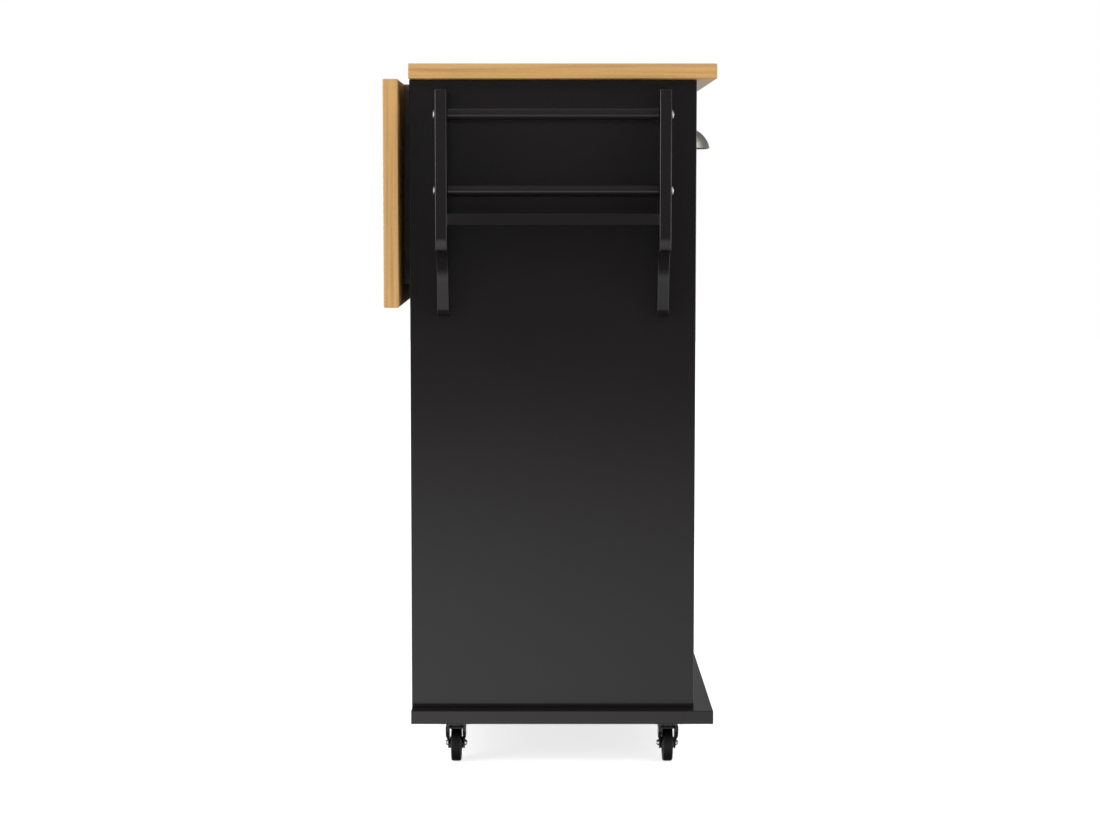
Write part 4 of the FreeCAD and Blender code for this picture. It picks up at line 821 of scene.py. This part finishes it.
def make_stage():
    """A plain pale floor that glows a little for the camera and lets gloss see the studio."""
    half = 9.0
    corners = [(-half, -half, 0.0), (half, -half, 0.0), (half, half, 0.0), (-half, half, 0.0)]
    mesh = bpy.data.meshes.new("floor")
    mesh.from_pydata(corners, [], [range(4)])
    floor = bpy.data.objects.new("floor", mesh)
    bpy.context.scene.collection.objects.link(floor)
    material = bpy.data.materials.new("white_studio_floor")
    material.use_nodes = True
    tree = material.node_tree
    tree.nodes.clear()
    path = add(tree, "ShaderNodeLightPath")
    glow = add(tree, "ShaderNodeMath", {0: in_sight(tree, path), 1: FLOOR_GLOW},
               operation="MULTIPLY")
    bright = add(tree, "ShaderNodeEmission", {"Color": (1, 1, 1, 1), "Strength": glow.outputs[0]})
    pale = add(tree, "ShaderNodeBsdfDiffuse", {"Color": linear(FLOOR_WHITE)})
    both = add(tree, "ShaderNodeAddShader", {0: pale.outputs[0], 1: bright.outputs[0]})
    # Gloss sees the studio of the world shader through the floor
    clear = add(tree, "ShaderNodeBsdfTransparent")
    whole = add(tree, "ShaderNodeMixShader", {0: path.outputs["Is Glossy Ray"],
                                              1: both.outputs[0], 2: clear.outputs[0]})
    add(tree, "ShaderNodeOutputMaterial", {"Surface": whole.outputs[0]})
    mesh.materials.append(material)


def smooth_run(tree, value, low, high, first, last):
    """Run smoothly from first to last as a value goes from low to high."""
    return add(tree, "ShaderNodeMapRange", {0: value, 1: low, 2: high, 3: first, 4: last},
               interpolation_type="SMOOTHSTEP").outputs[0]


def studio_gloss(tree, place):
    """Strength of the studio that gloss sees, by direction.

    The room's strength follows the direction's height and, past the screen, its place between
    -Y and +Y. Four soft boxes stand at eye level in the studio's corners.
    """
    way = add(tree, "ShaderNodeSeparateXYZ", {0: place}).outputs
    level = add(tree, "ShaderNodeMath", {0: way[2], 1: 0.5, 2: 0.5}, operation="MULTIPLY_ADD")
    room = ramp(tree, level.outputs[0], STUDIO_LEVELS)
    aside = add(tree, "ShaderNodeMath", {0: way[1], 1: 0.5, 2: 0.5}, operation="MULTIPLY_ADD")
    screen = ramp(tree, aside.outputs[0], STUDIO_SIDES)
    room = add(tree, "ShaderNodeMath", {0: room, 1: screen}, operation="MULTIPLY").outputs[0]
    corner = add(tree, "ShaderNodeMath", {0: way[0], 1: way[1]}, operation="MULTIPLY")
    corner = add(tree, "ShaderNodeMath", {0: corner.outputs[0]}, operation="ABSOLUTE").outputs[0]
    across = smooth_run(tree, corner, *SOFT_BOX_CORNER, 0.0, 1.0)
    height = add(tree, "ShaderNodeMath", {0: way[2]}, operation="ABSOLUTE").outputs[0]
    upwards = smooth_run(tree, height, *SOFT_BOX_HEIGHT, SOFT_BOX_STRENGTH, 0.0)
    boxes = add(tree, "ShaderNodeMath", {0: across, 1: upwards}, operation="MULTIPLY")
    return add(tree, "ShaderNodeMath", {0: room, 1: STUDIO_STRENGTH, 2: boxes.outputs[0]},
               operation="MULTIPLY_ADD").outputs[0]


def make_world():
    """White where the camera looks past the object, and a soft grey room for light and gloss."""
    world = bpy.data.worlds.new("white_surround")
    bpy.context.scene.world = world
    world.use_nodes = True
    tree = world.node_tree
    tree.nodes.clear()
    path = add(tree, "ShaderNodeLightPath")
    place = add(tree, "ShaderNodeTexCoord").outputs["Generated"]
    room = add(tree, "ShaderNodeBackground", {"Color": (1, 1, 1, 1), "Strength": ROOM_LIGHT})
    gloss = add(tree, "ShaderNodeBackground", {"Color": (1, 1, 1, 1),
                                               "Strength": studio_gloss(tree, place)})
    white = add(tree, "ShaderNodeBackground", {"Color": (1, 1, 1, 1), "Strength": 1.0})
    shiny = add(tree, "ShaderNodeMixShader", {0: path.outputs["Is Glossy Ray"],
                                              1: room.outputs[0], 2: gloss.outputs[0]})
    whole = add(tree, "ShaderNodeMixShader", {0: in_sight(tree, path), 1: shiny.outputs[0],
                                              2: white.outputs[0]})
    add(tree, "ShaderNodeOutputWorld", {"Surface": whole.outputs[0]})


def lamp(name, place, target, size, power):
    """A square soft box at a place, facing a target."""
    light = bpy.data.lights.new(name, "AREA")
    light.shape = "SQUARE"
    light.size = size
    light.energy = power
    made = bpy.data.objects.new(name, light)
    bpy.context.scene.collection.objects.link(made)
    way = Vector(target) - Vector(place)
    made.location = place
    made.rotation_euler = way.to_track_quat("-Z", "Y").to_euler()


def make_camera():
    """The photograph's view: along +X at the left end, a little downwards."""
    view = bpy.data.cameras.new("photo_view")
    view.sensor_width = SENSOR_WIDTH
    view.lens = SENSOR_WIDTH * FOCAL_PIXELS / PHOTO_WIDTH
    view.shift_x = (PHOTO_WIDTH / 2 - AXIS_PIXEL_X) / PHOTO_WIDTH
    view.clip_end = 60.0
    camera = bpy.data.objects.new("camera", view)
    bpy.context.scene.collection.objects.link(camera)
    camera.location = CAMERA_PLACE
    camera.rotation_euler = (math.pi / 2 - CAMERA_PITCH, 0.0, -math.pi / 2)
    bpy.context.scene.camera = camera


# Putting it together

for part in frame["record"]["subparts"]:
    shown = frame["nodes"][part["node"]]
    shown.data.materials.clear()
    shown.data.materials.append(NODE_FINISHES.get(part["node"], FINISHES[part["material_slot"]]))

rounded_board("worktop", BOARD_EDGE, 1)
rounded_board("drop_leaf", BOARD_EDGE, 2)
for side in ("left", "right"):
    cup_pull(f"drawer_{side}_pull")
    knob(f"door_{side}_knob")
for corner in ("front_left", "back_left", "front_right", "back_right"):
    wheel(f"caster_wheel_{corner}")
    fork(f"caster_fork_{corner}", f"caster_wheel_{corner}")
for rack in ("spice", "towel"):
    for end in ("front", "back"):
        rack_bracket(f"{rack}_bracket_{end}")
rack_heads()
flange_heads("wall_channel_screws")
flange_heads("leaf_arm_screws")
plate_heads()
# What nothing has replaced yet keeps its shape, with its edges rounded
for part in frame["record"]["subparts"]:
    width = EDGES.get(part["material_slot"])
    if width and not frame["nodes"][part["node"]].hide_render:
        eased(part["node"], width)

make_stage()
make_world()
for name, place, size, power in LAMPS:
    lamp(name, place, LAMP_TARGET, size, power)
make_camera()
bpy.context.scene.view_settings.view_transform = "Standard"
